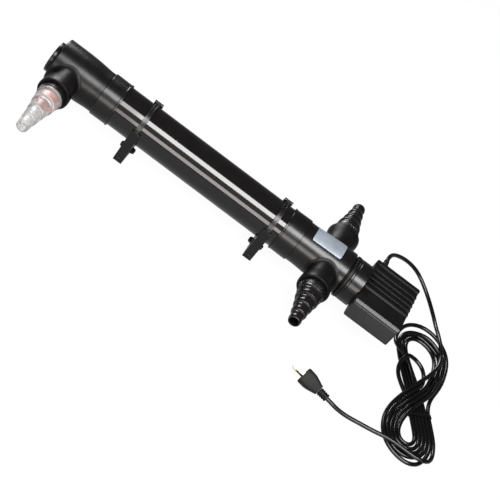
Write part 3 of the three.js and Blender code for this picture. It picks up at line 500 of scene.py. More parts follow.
def turned_mesh(profile, axis, centre=(0, 0, 0), segments=TURNED_SEGMENTS):
    """Turns a closed outline of (place along the axis, radius) points about an axis."""
    verts = []
    for k in range(segments):
        angle = 2 * math.pi * k / segments
        c, s = math.cos(angle), math.sin(angle)
        for along, radius in profile:
            if axis == "x":
                point = (along, radius * c, radius * s)
            elif axis == "-y":
                point = (radius * c, -along, radius * s)
            elif axis == "y":
                point = (radius * c, along, radius * s)
            else:
                point = (radius * c, radius * s, along)
            verts.append(tuple(p + q for p, q in zip(point, centre)))
    return verts, joined(len(profile), round_pairs(segments))


def turned(name, profile, axis, material, body=None, stands_for=(), centre=(0, 0, 0),
           segments=TURNED_SEGMENTS, steps=5, sharp=32):
    verts, faces = turned_mesh(rounded(profile, steps), axis, centre, segments)
    return piece(name, verts, faces, material, body, stands_for, sharp)


def prism(name, outline, span, axes, material=None, centre=(0, 0, 0)):
    """Extrudes an outline over a span. Axes names the outline's two directions and the extrusion's."""
    order = {"yzx": (2, 0, 1), "xyz": (0, 1, 2), "xzy": (0, 2, 1)}[axes]
    verts = []
    for depth in span:
        for a, b in outline:
            values = (a, b, depth)
            verts.append(tuple(values[order[k]] + centre[k] for k in range(3)))
    return piece(name, verts, extruded_faces(len(outline)), material or SATIN_BLACK, None)


def arc(radius, start, end, steps=24, centre=(0, 0)):
    """Points on an arc, with angles in degrees."""
    return [
        (centre[0] + radius * math.cos(math.radians(start + (end - start) * k / steps)),
         centre[1] + radius * math.sin(math.radians(start + (end - start) * k / steps)))
        for k in range(steps + 1)
    ]


def box_piece(name, x, y, z, material=None):
    return prism(name, [(x[0], y[0]), (x[1], y[0]), (x[1], y[1]), (x[0], y[1])], z, "xyz", material)


def rod(name, radius, span, axis, centre=(0, 0, 0), material=None, segments=48):
    profile = [(span[0], 0), (span[0], radius), (span[1], radius), (span[1], 0)]
    return turned(name, profile, axis, material or SATIN_BLACK, centre=centre, segments=segments)


# ------------------------------------------------------------------ pipe line
def branch(name, side, x, material):
    """A tee's branch, with a flared rim and a soft fillet where it meets the tee's barrel."""
    fillet = 4.0
    rim = rounded([
        (BRANCH_BORE_R, 46), (BRANCH_BORE_R, BRANCH_LENGTH - RIM_DEPTH, 0.4),
        (RIM_OPENING_R, BRANCH_LENGTH - RIM_DEPTH, 0.4), (RIM_OPENING_R, BRANCH_LENGTH, 0.9),
        (BRANCH_RIM_R, BRANCH_LENGTH, 1.3), (BRANCH_RIM_R, 60.5, 3), (BRANCH_ROOT_R, 46, 5),
        (BRANCH_ROOT_R, 38),
    ])
    rows = []

    def height(radius, angle):
        return math.sqrt(max(TEE_R**2 - (radius * math.sin(angle)) ** 2, 1.0))

    for k in range(TURNED_SEGMENTS):
        angle = 2 * math.pi * k / TURNED_SEGMENTS
        row = [(PASSAGE_R, height(PASSAGE_R, angle) - 2), (PASSAGE_R, 46)]
        row += rim
        for step in range(9):
            radius = BRANCH_ROOT_R + fillet * (1 - math.cos(math.pi / 2 * step / 8))
            lift = fillet * (1 - math.sin(math.pi / 2 * step / 8))
            row.append((radius, height(radius, angle) + lift))
        row.append((BRANCH_ROOT_R + fillet, height(BRANCH_ROOT_R + fillet, angle) - 2))
        rows.append([(x + radius * math.cos(angle), side * along, radius * math.sin(angle))
                     for radius, along in row])
    verts = [v for row in rows for v in row]
    return piece(name, verts, joined(len(rows[0]), round_pairs(TURNED_SEGMENTS)), material, None)


def barrel_with_ports(name, profile, ports, material):
    body = turned(name, profile, "x", material)
    tools = [rod("tool", PASSAGE_R, (10, 60), "y" if side > 0 else "-y", (x, 0, 0), segments=64)
             for x, side in ports]
    combine(body, tools)
    return merge([body] + [branch("branch", side, x, BRANCH_BLACK) for x, side in ports])


def make_pipe_line():
    turned("main_tube_skin", [
        (PIPE[0], BORE_R), (PIPE[1], BORE_R), (PIPE[1], PIPE_R, 0.3), (PIPE[0], PIPE_R, 0.3),
    ], "x", PIPE_GLOSS, "clarifier_body", ["main_tube"], segments=192)

    collar_start = LEFT_COLLAR[0] - 0.3
    head = barrel_with_ports("head_tee_skin", [
        (HEAD_TEE_LEFT, PLUG_STEM_R + 0.5), (HEAD_TEE_LEFT, TEE_R, 2.6), (-300, TEE_R, 4),
        (-284, TEE_R - 0.7, 6), (-266, TEE_NECK_R, 6), (collar_start, TEE_NECK_R, 0.5),
        (collar_start, TEE_LIP_R), (PIPE[0] - 0.3, TEE_LIP_R, 0.3), (PIPE[0] - 0.3, BORE_R),
        (HEAD_TEE_LEFT + 7, BORE_R), (HEAD_TEE_LEFT + 7, PLUG_STEM_R + 0.5),
    ], [(LEFT_PORT_X, -1)], DULL_SATIN)
    dress(head, "clarifier_body", ["head_tee"])

    collar_end = RIGHT_COLLAR[1] + 0.3
    cross = barrel_with_ports("cross_tee_skin", [
        (PIPE[1] + 0.3, BORE_R), (PIPE[1] + 0.3, TEE_LIP_R, 0.3), (collar_end, TEE_LIP_R),
        (collar_end, TEE_NECK_R, 0.5), (100, TEE_NECK_R, 6), (124, TEE_R - 0.8, 8), (140, TEE_R, 6),
        (CROSS_TEE_RIGHT, TEE_R, 1.6), (CROSS_TEE_RIGHT, BORE_R, 0.5),
    ], [(CROSS_PORT_X, -1), (CROSS_PORT_X, 1)], SATIN_BLACK)
    dress(cross, "clarifier_body", ["cross_tee"])

    for side, (left, right), lip_right in (("left", LEFT_COLLAR, True), ("right", RIGHT_COLLAR, False)):
        lip = COLLAR_R + 0.38
        lip_profile = [(right - 3.2, COLLAR_R - 0.35, 0.5), (right - 2.6, lip, 0.3), (right, lip, 0.7)]
        plain_end = (left, COLLAR_R, 0.7)
        profile = [(left, COLLAR_BORE_R), plain_end] + lip_profile + [(right, COLLAR_BORE_R, 0.4)]
        if not lip_right:
            profile = [(left + right - p[0], *p[1:]) for p in profile]
        turned(f"{side}_collar_skin", profile, "x", SATIN_BLACK, "clarifier_body", [f"{side}_collar"])


def make_label():
    """Plain foil label, wrapped over the top of the cross tee."""
    rows, columns = 40, 60
    first, last, middle = 62.0, 120.0, 91
    start, end = 98.5, 146.5
    corner = 2.5
    reach = (last - first) / 2 * math.radians(1) * TEE_R

    def radius_at(x):
        places = [86, 100, 108, 116, 124, 132, 140, 166]
        radii = [32.0, 32.05, 32.5, 33.1, 33.55, 33.95, 34.25, 34.3]
        return float(np.interp(x, places, radii))

    verts = []
    for layer in (0.25, 0.55):
        for i in range(rows + 1):
            for j in range(columns + 1):
                u, v = i / rows, j / columns
                x = start + (end - start) * u
                angle = first + (last - first) * v
                dx = max(0.0, corner - min(u, 1 - u) * (end - start))
                pull = (corner - math.sqrt(max(corner**2 - dx**2, 0))) / reach if dx > 0 else 0
                # the front ports look along -Y, so angles start at the front
                turn = math.radians(middle + (angle - middle) * (1 - pull))
                radius = radius_at(x) + layer
                verts.append((x, -radius * math.cos(turn), radius * math.sin(turn)))
    faces = []
    width = columns + 1
    size = (rows + 1) * width
    for i in range(rows):
        for j in range(columns):
            a = i * width + j
            b, c, d = a + 1, a + width + 1, a + width
            faces.append((a, b, c, d))
            faces.append((size + d, size + c, size + b, size + a))
    rim = list(range(width)) + [i * width + columns for i in range(1, rows + 1)]
    rim += [rows * width + j for j in range(columns - 1, -1, -1)]
    rim += [i * width for i in range(rows - 1, 0, -1)]
    for a, b in zip(rim, rim[1:] + rim[:1]):
        faces.append((a, b, size + b, size + a))
    piece("blank_label_foil", verts, faces, LABEL, "clarifier_body", ["blank_label"])


def make_end_plug():
    under = HEAD_TEE_LEFT - 2.2
    plug = turned("end_plug_skin", [
        (PLUG_FACE + 1.6, 0), (PLUG_FACE + 1.6, 19.5, 0.6), (PLUG_FACE, 20.6, 0.5),
        (PLUG_FACE, PLUG_HEAD_R - 0.2, 1.8), (under, PLUG_HEAD_R - 0.05, 0.5), (under, PLUG_STEM_R),
        (HEAD_TEE_LEFT + 12, PLUG_STEM_R, 0.6), (HEAD_TEE_LEFT + 12, 0),
    ], "x", SATIN_BLACK)
    bar = prism("grip", rounded([(-18.4, -3, 2), (18.4, -3, 2), (18.4, 3, 2), (-18.4, 3, 2)]),
                (PLUG_FACE + 0.35, PLUG_FACE + 2.2), "yzx")
    bevel(bar, 0.5)
    dress(merge([plug, bar]), "end_plug", ["end_plug"])
    turned("end_plug_seal_ring", [
        (under + 0.3, PLUG_STEM_R + 0.3), (under + 0.3, PLUG_HEAD_R - 0.8, 0.5),
        (HEAD_TEE_LEFT - 0.3, PLUG_HEAD_R - 0.8, 0.5), (HEAD_TEE_LEFT - 0.3, PLUG_STEM_R + 0.3),
    ], "x", RUBBER, "end_plug_travel", ["end_plug_seal"])


# ------------------------------------------------------------------ unions and hose tails
def toothed(count, corners, centre):
    """A ring of teeth, each from corners of (radius, part of the tooth's turn)."""
    outline = []
    for i in range(count):
        for radius, part in corners:
            angle = 2 * math.pi * (i + part) / count
            outline.append((centre[0] + radius * math.cos(angle), centre[1] + radius * math.sin(angle)))
    return outline


def union_ring(name, x, side, body):
    axis = "y" if side > 0 else "-y"
    shoulder = BRANCH_LENGTH - RIM_DEPTH + 0.3
    core = turned(name, [
        (UNION_START, 15.4), (UNION_START, BRANCH_BORE_R - 0.3, 0.4), (shoulder, BRANCH_BORE_R - 0.3),
        (shoulder, UNION_R, 0.3), (UNION_END, UNION_R - 0.1, 0.6), (UNION_END, 15.4, 0.3),
    ], axis, MATTE_BLACK, centre=(x, 0, 0))
    teeth = ((UNION_R - 0.4, 0.0), (19.85, 0.22), (19.85, 0.52), (UNION_R - 0.4, 0.74))
    outline = toothed(30, teeth, (x, 0))
    band = prism("ribs", outline, (side * (BRANCH_LENGTH + 0.6), side * 75.6), "xzy", MATTE_BLACK)
    hole = rod("tool", UNION_R - 1.2, (60, 80), axis, (x, 0, 0), segments=96)
    combine(band, [hole], sharp=25)
    dress(merge([core, band]), body, [name.replace("_skin", "")])


def hose_tail(name, x, side, tip, barbs, material, body):
    flange = UNION_END + 0.3
    first = flange + 3.5
    length = (tip - first) / len(TAIL_STEPS)
    profile = [(58, 12.8), (58, 15.1, 0.5), (flange, 15.1), (flange, UNION_R, 0.7), (first, UNION_R, 0.7)]
    for step, radius in enumerate(TAIL_STEPS):
        start = first + step * length
        pitch = length / barbs
        for barb in range(barbs):
            foot = start + barb * pitch
            profile += [(foot + 0.35, radius - 1.0, 0.3), (foot + pitch * 0.30, radius - 0.02, 0.5),
                        (foot + pitch * 0.46, radius - 0.06, 0.6)]
            profile += [(foot + pitch - 0.35, radius - 1.15, 0.3)]
    profile[-1] = (tip, TAIL_STEPS[-1] - 0.9, 0.8)
    profile += [(tip, 6.95, 0.5), (93.5, 12.2), (93.5, 14.35), (79, 14.35), (79, 12.8)]
    turned(name, profile, "y" if side > 0 else "-y", material, body,
           [name.replace("_skin", "")], centre=(x, 0, 0), segments=112, steps=4, sharp=40)


def tail_seal(name, x, side, body):
    profile = [(79.5, 11.3), (79.5, 14.05, 0.5), (84.0, 14.05, 0.4), (84.8, 13.2, 0.4), (86.4, 13.2, 0.4),
               (87.2, 14.05, 0.4), (92.9, 14.05, 0.8), (92.9, 11.3, 0.4)]
    turned(name, profile, "y" if side > 0 else "-y", SILICONE, body, [name.replace("_ring", "")],
           centre=(x, 0, 0), segments=96)


def make_ports():
    for port, x, side, tip, barbs, material, slot in (
        ("left", LEFT_PORT_X, -1, CLEAR_TAIL_TIP, 1, CLEAR, "clear_plastic"),
        ("front", CROSS_PORT_X, -1, BLACK_TAIL_TIP, 2, TAIL_BLACK, "matte_black_moulding"),
        ("rear", CROSS_PORT_X, 1, BLACK_TAIL_TIP, 2, TAIL_BLACK, "matte_black_moulding"),
    ):
        union_ring(f"{port}_union_ring_skin", x, side, f"{port}_union")
        hose_tail(f"{port}_hose_tail_skin", x, side, tip, barbs, material, f"{port}_tail")
        tail_seal(f"{port}_tail_seal_ring", x, side, f"{port}_tail")


# ------------------------------------------------------------------ pipe clips
HINGE_Y = HINGE_R * math.cos(math.radians(HINGE_ANGLE))
HINGE_Z = HINGE_R * math.sin(math.radians(HINGE_ANGLE))


def ring_sector(outer, inner, start, end, steps=48):
    return arc(outer, start, end, steps) + arc(inner, end, start, steps)


def clip_neck(name, side, span, x):
    """The short bridge from the knuckle to the arm on one side and the strap on the other."""
    ends = sorted((HINGE_ANGLE + side, HINGE_ANGLE + side * (HINGE_GAP + 2)))
    return prism(name, ring_sector(HINGE_R + 1.2, HINGE_R - 1.6, *ends, 6), span, "yzx", None, (x, 0, 0))


def clip_knuckle(name, side, span, x):
    centre = (x, HINGE_Y, HINGE_Z)
    knuckle = rod(name, KNUCKLE_R, span, "x", centre)
    combine(knuckle, [clip_neck("neck", side, span, x)], "UNION")
    combine(knuckle, [rod("tool", PIN_HOLE_R, (-10, 10), "x", centre, segments=32)])
    return bevel(knuckle, 0.3, 2)


def clip_base(name, x):
    arm_end = HINGE_ANGLE - HINGE_GAP
    outline = [(-CLIP_HALF_BASE, FLOOR), (CLIP_HALF_BASE, FLOOR), (CLIP_R, 0)]
    outline += arc(CLIP_R, 2, arm_end, 24)
    outline += arc(CLIP_BORE_R, arm_end, LATCH_ANGLE - 360, 110)
    outline += arc(CLIP_R, LATCH_ANGLE, 180, 6)
    base = prism(name, outline, (-CLIP_WIDTH / 2, CLIP_WIDTH / 2), "yzx", SATIN_BLACK, (x, 0, 0))
    tools = []
    for side in (1, -1):
        inside = CLIP_HALF_BASE - 5
        high = math.degrees(math.atan2(-math.sqrt(CLIP_R**2 - inside**2), side * inside))
        low = math.degrees(math.atan2(-math.sqrt(CLIP_R**2 - 25), side * 5))
        if side < 0:
            high, low = high % 360, low % 360
        window = [(side * 5, FLOOR + 6), (side * inside, FLOOR + 6)] + arc(CLIP_R, high, low, 30)
        tools.append(prism("tool", window, (-9, 9), "yzx", None, (x, 0, 0)))
    front = -CLIP_HALF_BASE
    tools.append(box_piece("tool", (x - 3.6, x + 3.6), (front - 1, front + 1.6), (FLOOR + 7, FLOOR + 10.5)))
    combine(base, tools)
    bevel(base, 0.55, 3, 40)
    ears = []
    for side in (1, -1):
        ear = rod("ear", EAR_R, (FLOOR + 0.02, FLOOR + 4.9), "z", (x + side * EAR_X, 0, 0))
        hole = rod("tool", 1.9, (FLOOR - 1, FLOOR + 7), "z", (x + side * SCREW_HOLE_X, 0, 0), segments=32)
        combine(ear, [hole])
        ears.append(bevel(ear, 0.4, 2))
    lugs = []
    for side in (1, -1):
        span = sorted((side * 2.6, side * CLIP_WIDTH / 2 * 0.995))
        lugs.append(clip_knuckle("lug", -1, span, x))
    return merge([base, *ears, *lugs])


def clip_strap(name, x):
    start, end = HINGE_ANGLE + HINGE_GAP, LATCH_ANGLE - 1.5
    band = prism(name, ring_sector(CLIP_R, CLIP_BORE_R, start, end, 72),
                 (-STRAP_WIDTH / 2, STRAP_WIDTH / 2), "yzx", STRAP_SATIN, (x, 0, 0))
    groove = prism("tool", ring_sector(CLIP_R + 1, CLIP_R - 0.6, start + 9, end - 14, 60), (-1.2, 1.2),
                   "yzx", None, (x, 0, 0))
    combine(band, [groove])
    bevel(band, 0.6, 3, 40)
    tab = prism("tab", ring_sector(CLIP_R + 1.55, CLIP_R - 1, LATCH_ANGLE - 6, LATCH_ANGLE - 2, 6), (-3, 3),
                "yzx", STRAP_SATIN, (x, 0, 0))
    bevel(tab, 0.4, 2)
    return merge([band, tab, clip_knuckle("knuckle", 1, (-2.3, 2.3), x)])


def make_clips():
    for side, x in zip(("left", "right"), CLIP_X):
        base = clip_base(f"{side}_clip_base_skin", x)
        dress(base, "clarifier_body", [f"{side}_clip_base"])
        strap = clip_strap(f"{side}_clip_strap_skin", x)
        dress(strap, f"{side}_strap", [f"{side}_clip_strap"])
        turned(f"{side}_clip_pin_steel", [
            (-6.95, 0), (-6.95, PIN_R, 0.25), (6.95, PIN_R, 0.25), (6.95, 0),
        ], "x", STEEL, "clarifier_body", [f"{side}_clip_pin"], (x, HINGE_Y, HINGE_Z), 32)


# ------------------------------------------------------------------ lamp unit
def make_adapter():
    adapter = turned("lamp_adapter_skin", [
        (ADAPTER_LEFT, 21), (ADAPTER_LEFT, BORE_R - 0.35, 0.6), (ADAPTER_SHOULDER, BORE_R - 0.35),
        (ADAPTER_SHOULDER, ADAPTER_R - 0.1, 0.9), (176.2, ADAPTER_R - 0.1, 0.3),
        (176.7, ADAPTER_R - 0.7, 0.3), (177.4, ADAPTER_R - 0.7, 0.3), (177.9, ADAPTER_R - 0.1, 0.3),
        (ADAPTER_RIGHT, ADAPTER_R, 1.0),
        (ADAPTER_RIGHT, 14), (SOCKET_RIGHT + 0.3, 14), (SOCKET_RIGHT + 0.3, 21),
    ], "x", SATIN_BLACK)
    dress(adapter, "lamp_unit", ["lamp_adapter"])
    turned("lock_ring_skin", [
        (LOCK_RING[0], BORE_R + 0.05), (LOCK_RING[0], ADAPTER_R + 0.38, 0.9),
        (LOCK_RING[1], ADAPTER_R + 0.38, 0.9), (LOCK_RING[1], BORE_R + 0.05),
    ], "x", BRANCH_BLACK, "lock_ring", ["lock_ring"])
    turned("adapter_gasket_ring", [
        (CROSS_TEE_RIGHT + 0.35, BORE_R + 0.05), (CROSS_TEE_RIGHT + 0.35, BORE_R + 2.5, 0.8),
        (LOCK_RING[0] - 0.35, BORE_R + 2.5, 0.8), (LOCK_RING[0] - 0.35, BORE_R + 0.05),
    ], "x", RUBBER, "lamp_unit", ["adapter_gasket"])


def make_lamp():
    turned("quartz_sleeve_glass", [
        (-225, 0), (-225, 9, 5), (-221, 18, 4), (-212, 21.95, 6), (163, 21.95, 0.6), (163, 20.35, 0.6),
        (-211, 20.35, 6), (-219, 16.5, 4), (-222.6, 9, 4), (-222.6, 0),
    ], "x", QUARTZ, "clarifier_body", ["quartz_sleeve"], segments=96)
    tubes = []
    for side in (1, -1):
        tubes.append(turned("uv_lamp_glass", [
            (-205, 0), (-205, 4, 3), (-202.4, 7.6, 2.5), (-197, 8.65, 3), (150, 8.65), (150, 0),
        ], "x", QUARTZ, centre=(0, side * 10.5, 0), segments=64))
    bridge = rod("bridge", 3.9, (-10.4, 10.4), "y", (-193, 0, 0))
    bridge.data.materials[0] = QUARTZ
    dress(merge([*tubes, bridge]), "lamp_unit", ["uv_lamp"])

    end_x, end_r = 9.7, 9.35
    stadium = arc(end_r, -90, 90, 24, (end_x, 0)) + arc(end_r, 90, 270, 24, (-end_x, 0))
    base = prism("lamp_base_shell", stadium, (150.35, 176), "yzx", CERAMIC)
    bevel(base, 0.8, 3, 50)
    pins = [rod("pin", 1.15, (175, 181.9), "x", (0, y, 0), STEEL, 24) for y in (-9, -3, 3, 9)]
    dress(merge([base, *pins]), "lamp_unit", ["lamp_base"])
    socket = prism("lamp_socket_shell", stadium, (176.65, SOCKET_RIGHT - 0.1), "yzx", CERAMIC)
    bevel(socket, 0.6, 3, 50)
    combine(socket, [box_piece("tool", (175, 184.5), (-12, 12), (-3, 3))])
    dress(socket, "lamp_unit", ["lamp_socket"])


def box_outline(inset, radius):
    """The ballast box from above, set in from its walls, with round corners."""
    left, right, half = BOX_LEFT + inset, BOX_RIGHT - inset, BOX_HALF - inset
    corners = ((left, -half), (right, -half), (right, half), (left, half))
    return rounded([(x, y, radius) for x, y in corners], 6)


PILLAR_IN = 5.4
PILLARS = [
    (x, y) for x in (BOX_LEFT + PILLAR_IN, BOX_RIGHT - PILLAR_IN)
    for y in (PILLAR_IN - BOX_HALF, BOX_HALF - PILLAR_IN)
]


def make_ballast():
    outline = box_outline(0, 3.4)
    housing = prism("ballast_housing_shell", outline, (BOX_FLOOR, BOX_RIM), "xyz", BOX_GREY)
    bevel(housing, 0.9, 3, 60)
    tools = [
        prism("tool", box_outline(BOX_WALL, 2), (BOX_FLOOR + BOX_WALL, BOX_RIM + 2), "xyz"),
        rod("tool", 14, (BOX_LEFT - 2, BOX_LEFT + 4), "x", (0, 0, 0)),
        rod("tool", 5.6, (BOX_HALF - 5, BOX_HALF + 3), "y", (GLAND_X, 0, GLAND_Z)),
    ]
    for x, y in PILLARS:
        tools.append(rod("tool", 3.1, (BOX_FLOOR - 1, BOX_FLOOR + 2.6), "z", (x, y, 0), segments=40))
    combine(housing, tools)
    dress(housing, "lamp_unit", ["ballast_housing"])

    cover_outline = [(-BOX_HALF, COVER_BASE), (BOX_HALF, COVER_BASE), (BOX_HALF, BOX_TOP + RIB_HEIGHT)]
    for rib in range(RIB_COUNT):
        back = FIRST_RIB_Y - rib * RIB_PITCH + RIB_WIDTH / 2
        front = back - (0 if rib == 0 else RIB_WIDTH)
        following = FIRST_RIB_Y - (rib + 1) * RIB_PITCH + RIB_WIDTH / 2
        if rib > 0:
            cover_outline.append((back - 0.6, BOX_TOP + RIB_HEIGHT))
        cover_outline += [(front + 0.6, BOX_TOP + RIB_HEIGHT), (front, BOX_TOP)]
        if rib < RIB_COUNT - 1:
            cover_outline.append((following, BOX_TOP))
    cover_outline += [(-BOX_HALF + CHAMFER, BOX_TOP), (-BOX_HALF, COVER_BASE + 0.9)]
    cover = prism("ballast_cover_skin", cover_outline, (BOX_LEFT, BOX_RIGHT), "yzx", COVER_BLACK)
    corners = prism("tool", outline, (5, 30), "xyz")
    combine(cover, [corners], "INTERSECT")
    bevel(cover, 0.45, 2, 30)
    dress(cover, "lamp_unit", ["ballast_cover"])

    seal = prism("cover_gasket_ring", box_outline(0.5, 3), (11.95, 12.85), "xyz", RUBBER)
    combine(seal, [prism("tool", box_outline(3, 2), (10, 15), "xyz")])
    dress(seal, "lamp_unit", ["cover_gasket"])
    for number, (x, y) in enumerate(PILLARS, 1):
        screw = turned(f"cover_screw_{number}_steel", [
            (BOX_FLOOR + 0.5, 0), (BOX_FLOOR + 0.5, 2.7, 0.5), (BOX_FLOOR + 2.2, 2.7, 0.2),
            (BOX_FLOOR + 2.2, 1.5), (COVER_BASE + 2.5, 1.5, 0.4), (COVER_BASE + 2.5, 0),
        ], "z", STEEL, centre=(x, y, 0), segments=40)
        combine(screw, [
            box_piece("tool", (x - 1.6, x + 1.6), (y - 0.3, y + 0.3), (BOX_FLOOR - 1, BOX_FLOOR + 1.4)),
            box_piece("tool", (x - 0.3, x + 0.3), (y - 1.6, y + 1.6), (BOX_FLOOR - 1, BOX_FLOOR + 1.4)),
        ])
        dress(screw, "lamp_unit", [f"cover_screw_{number}"])


def make_gland():
    face = BOX_HALF + 0.3
    centre = (GLAND_X, 0, GLAND_Z)
    turned("cable_gland_skin", [
        (40, 3.5), (40, 5.15, 0.4), (face, 5.15), (face, 8.15, 0.4), (face + 3.4, 8.15, 0.6),
        (face + 3.4, 5.95), (57, 5.95, 0.3), (57, 3.5),
    ], "y", MATTE_BLACK, "lamp_unit", ["cable_gland"], centre, 64)
    teeth = ((8.2, 0.0), (8.7, 0.25), (8.7, 0.5), (8.2, 0.75))
    outline = toothed(18, teeth, (GLAND_X, GLAND_Z))
    grip = prism("gland_nut_skin", outline, (face + 4.2, 58.2), "xzy", MATTE_BLACK)
    combine(grip, [rod("tool", 6.5, (40, 70), "y", centre)], sharp=25)
    dome = turned("dome", [
        (57.7, 6.45), (57.7, 8.1, 0.3), (58.7, 8.1, 0.6), (60.4, 7.2, 0.9), (60.4, 4.5, 0.4), (57.7, 4.5),
    ], "y", MATTE_BLACK, centre=centre, segments=64)
    dress(merge([grip, dome]), "lamp_unit", ["gland_nut"])
    relief = [(57.95, 3.12), (57.95, 4.05), (61.1, 4.05), (61.1, 5.15, 0.5), (65.6, 5.15, 0.6)]
    for k in range(5):
        start = 66.4 + k * 3.6
        radius = 4.85 - k * 0.2
        relief += [(start, radius - 0.55, 0.25), (start + 0.8, radius - 0.55, 0.25),
                   (start + 1.1, radius, 0.3), (start + 3.0, radius - 0.05, 0.3)]
    relief += [(RELIEF_END_Y - 0.1, 3.75, 0.5), (RELIEF_END_Y - 0.1, 3.12)]
    turned("strain_relief_boot", relief, "y", RUBBER, "lamp_unit", ["strain_relief"],
           centre, 64)


# ------------------------------------------------------------------ plug
def in_plug_frame(points):
    """Points along the plug, from its cord to its blades, turned to where the plug lies."""
    return [tuple(PLUG_AT + PLUG_TURN @ Vector(point)) for point in points]


def plug_shell(name, swell):
    """The plug's body lofted through rounded sections, swollen by a little where asked."""
    sections = [
        (15.1, 6.6, 5.6), (15.7, 7.2, 6.2), (19, 8.1, 6.9), (24, 9.6, 8.0), (29, 11.0, 9.0), (33, 11.8, 9.4),
        (38, 11.95, 9.45), (43.6, 11.95, 9.45), (45.0, 11.6, 9.1), (45.55, 10.7, 8.3),
    ]
    around = 96
    power = 4.2
    verts = []
    for x, half_width, half_height in sections:
        ring = []
        for k in range(around):
            angle = 2 * math.pi * k / around
            c, s = math.cos(angle), math.sin(angle)
            scale = (abs(c) ** power + abs(s) ** power) ** (-1 / power)
            ring.append((x, (half_width + swell) * c * scale, (half_height + swell) * s * scale))
        verts += in_plug_frame(ring)
    faces = joined(around, [(i, i + 1) for i in range(len(sections) - 1)])
    faces.append(tuple(range(around)))
    faces.append(tuple(range(len(verts) - around, len(verts))))
    return piece(name, verts, faces, PLUG_GREY, None, sharp=40)


def plug_prism(name, outline, low, high, material=PLUG_GREY):
    """Extrudes an outline across the plug's flatter way."""
    points = in_plug_frame([(x, y, z) for z in (low, high) for x, y in outline])
    return piece(name, points, extruded_faces(len(outline)), material, None)


def plug_panel(rear, shoulder, front, narrow, wide):
    near = [(rear, -narrow, 2), (shoulder, -wide, 3), (front, -wide, 2)]
    return rounded(near + [(x, -y, fillet) for x, y, fillet in reversed(near)])


def plug_body():
    body = plug_shell("plug_body_shell", 0)
    slots = []
    for side in (1, -1):
        z = side * BLADE_SPACING / 2
        slots.append(plug_prism("tool", [(40, -3.6), (48, -3.6), (48, 3.6), (40, 3.6)], z - 1.1, z + 1.1))
    combine(body, slots, sharp=40)
    # a raised rim round a plain panel on each flat side
    panel = plug_panel(19.5, 34, 41.5, 3.4, 7.4)
    inside = plug_panel(20.6, 34.2, 40.6, 2.7, 6.5)
    rim = plug_shell("rim", 0.04)
    combine(rim, [plug_prism("tool", panel, -12, 12)], "INTERSECT", sharp=40)
    combine(rim, [plug_prism("tool", inside, -13, 13)], sharp=40)
    return merge([body, rim])


def make_plug():
    body = plug_body()
    dress(body, "lamp_unit", ["plug_body"])
    blades = []
    for number, side in enumerate((1, -1), 1):
        z = side * BLADE_SPACING / 2
        tip, half = BLADE_TIP - 0.05, 3.15
        outline = rounded([(40.4, -half), (tip, -half, 2.4), (tip, half, 2.4), (40.4, half)], 8)
        blade = plug_prism(f"plug_blade_{number}_metal", outline, z - 0.74, z + 0.74, BRASS)
        bevel(blade, 0.6, 1, 50)
        verts, faces = turned_mesh([(z - 3, 0), (z - 3, 1.5), (z + 3, 1.5), (z + 3, 0)], "z", (59, 0, 0), 32)
        combine(blade, [piece("tool", in_plug_frame(verts), faces, BRASS, None)])
        # faces off the blade's flat way get the darker metal, as painted shade along the blade's edges
        blade.data.materials.append(BLADE_EDGE_SHADE)
        flat_way = PLUG_TURN @ Vector((0, 0, 1))
        for face in blade.data.polygons:
            face.material_index = 0 if abs(face.normal.dot(flat_way)) > 0.9 else 1
        dress(blade, "lamp_unit", [f"plug_blade_{number}"])
        blades.append(blade)
    profile = [(0.05, 3.12), (0.05, 5.3, 0.5)]
    for k in range(4):
        start = 1.2 + k * 3.4
        radius = 5.5 + 0.12 * k
        profile += [(start, radius, 0.3), (start + 2.2, radius + 0.05, 0.3),
                    (start + 2.5, radius - 0.75, 0.2), (start + 3.1, radius - 0.75, 0.2)]
    profile += [(PLUG_REAR - 0.35, 5.9), (PLUG_REAR - 0.35, 3.12)]
    verts, faces = turned_mesh(rounded(profile), "x", segments=64)
    relief = piece("plug_relief_boot", in_plug_frame(verts), faces, RUBBER, None)
    dress(relief, "lamp_unit", ["plug_relief"])
    return [body, relief, *blades]


def make_cord():
    path = cord_path()
    inside_boot = np.array([in_plug_frame([(x, 0, 0)])[0] for x in (3, 7, 11)])
    path = np.vstack([np.array([[GLAND_X, 78, GLAND_Z], [GLAND_X, 82, GLAND_Z]]), path, inside_boot])
    smooth = path.copy()
    for _ in range(5):
        smooth[1:-1] = (smooth[:-2] + 2 * smooth[1:-1] + smooth[2:]) / 4
    cord = curve_through("power_cord", smooth, CORD_R - 0.02, CORD_GLOSS)
    dress(cord, "lamp_unit", ["power_cord_run", "power_cord_lead", "cord_hank"])
    length = float(np.sum(np.linalg.norm(np.diff(smooth, axis=0), axis=1))) * MM
    print("cord length", round(length, 3))
    return smooth


def hull(points):
    """The convex outline of points in a plane, counterclockwise."""
    points = sorted(set(points))

    def chain(run):
        kept = []
        for p in run:
            while len(kept) > 1:
                (ax, ay), (bx, by) = kept[-2:]
                if (bx - ax) * (p[1] - ay) - (by - ay) * (p[0] - ax) > 0:
                    break
                kept.pop()
            kept.append(p)
        return kept[:-1]

    return chain(points) + chain(points[::-1])


def evenly(outline, count):
    """Points evenly spaced round a closed outline, from its leftmost one."""
    loop = np.array(outline + outline[:1])
    along = np.concatenate([[0], np.cumsum(np.linalg.norm(np.diff(loop, axis=0), axis=1))])
    places = np.linspace(0, along[-1], count, endpoint=False)
    return list(zip(np.interp(places, along, loop[:, 0]), np.interp(places, along, loop[:, 1])))


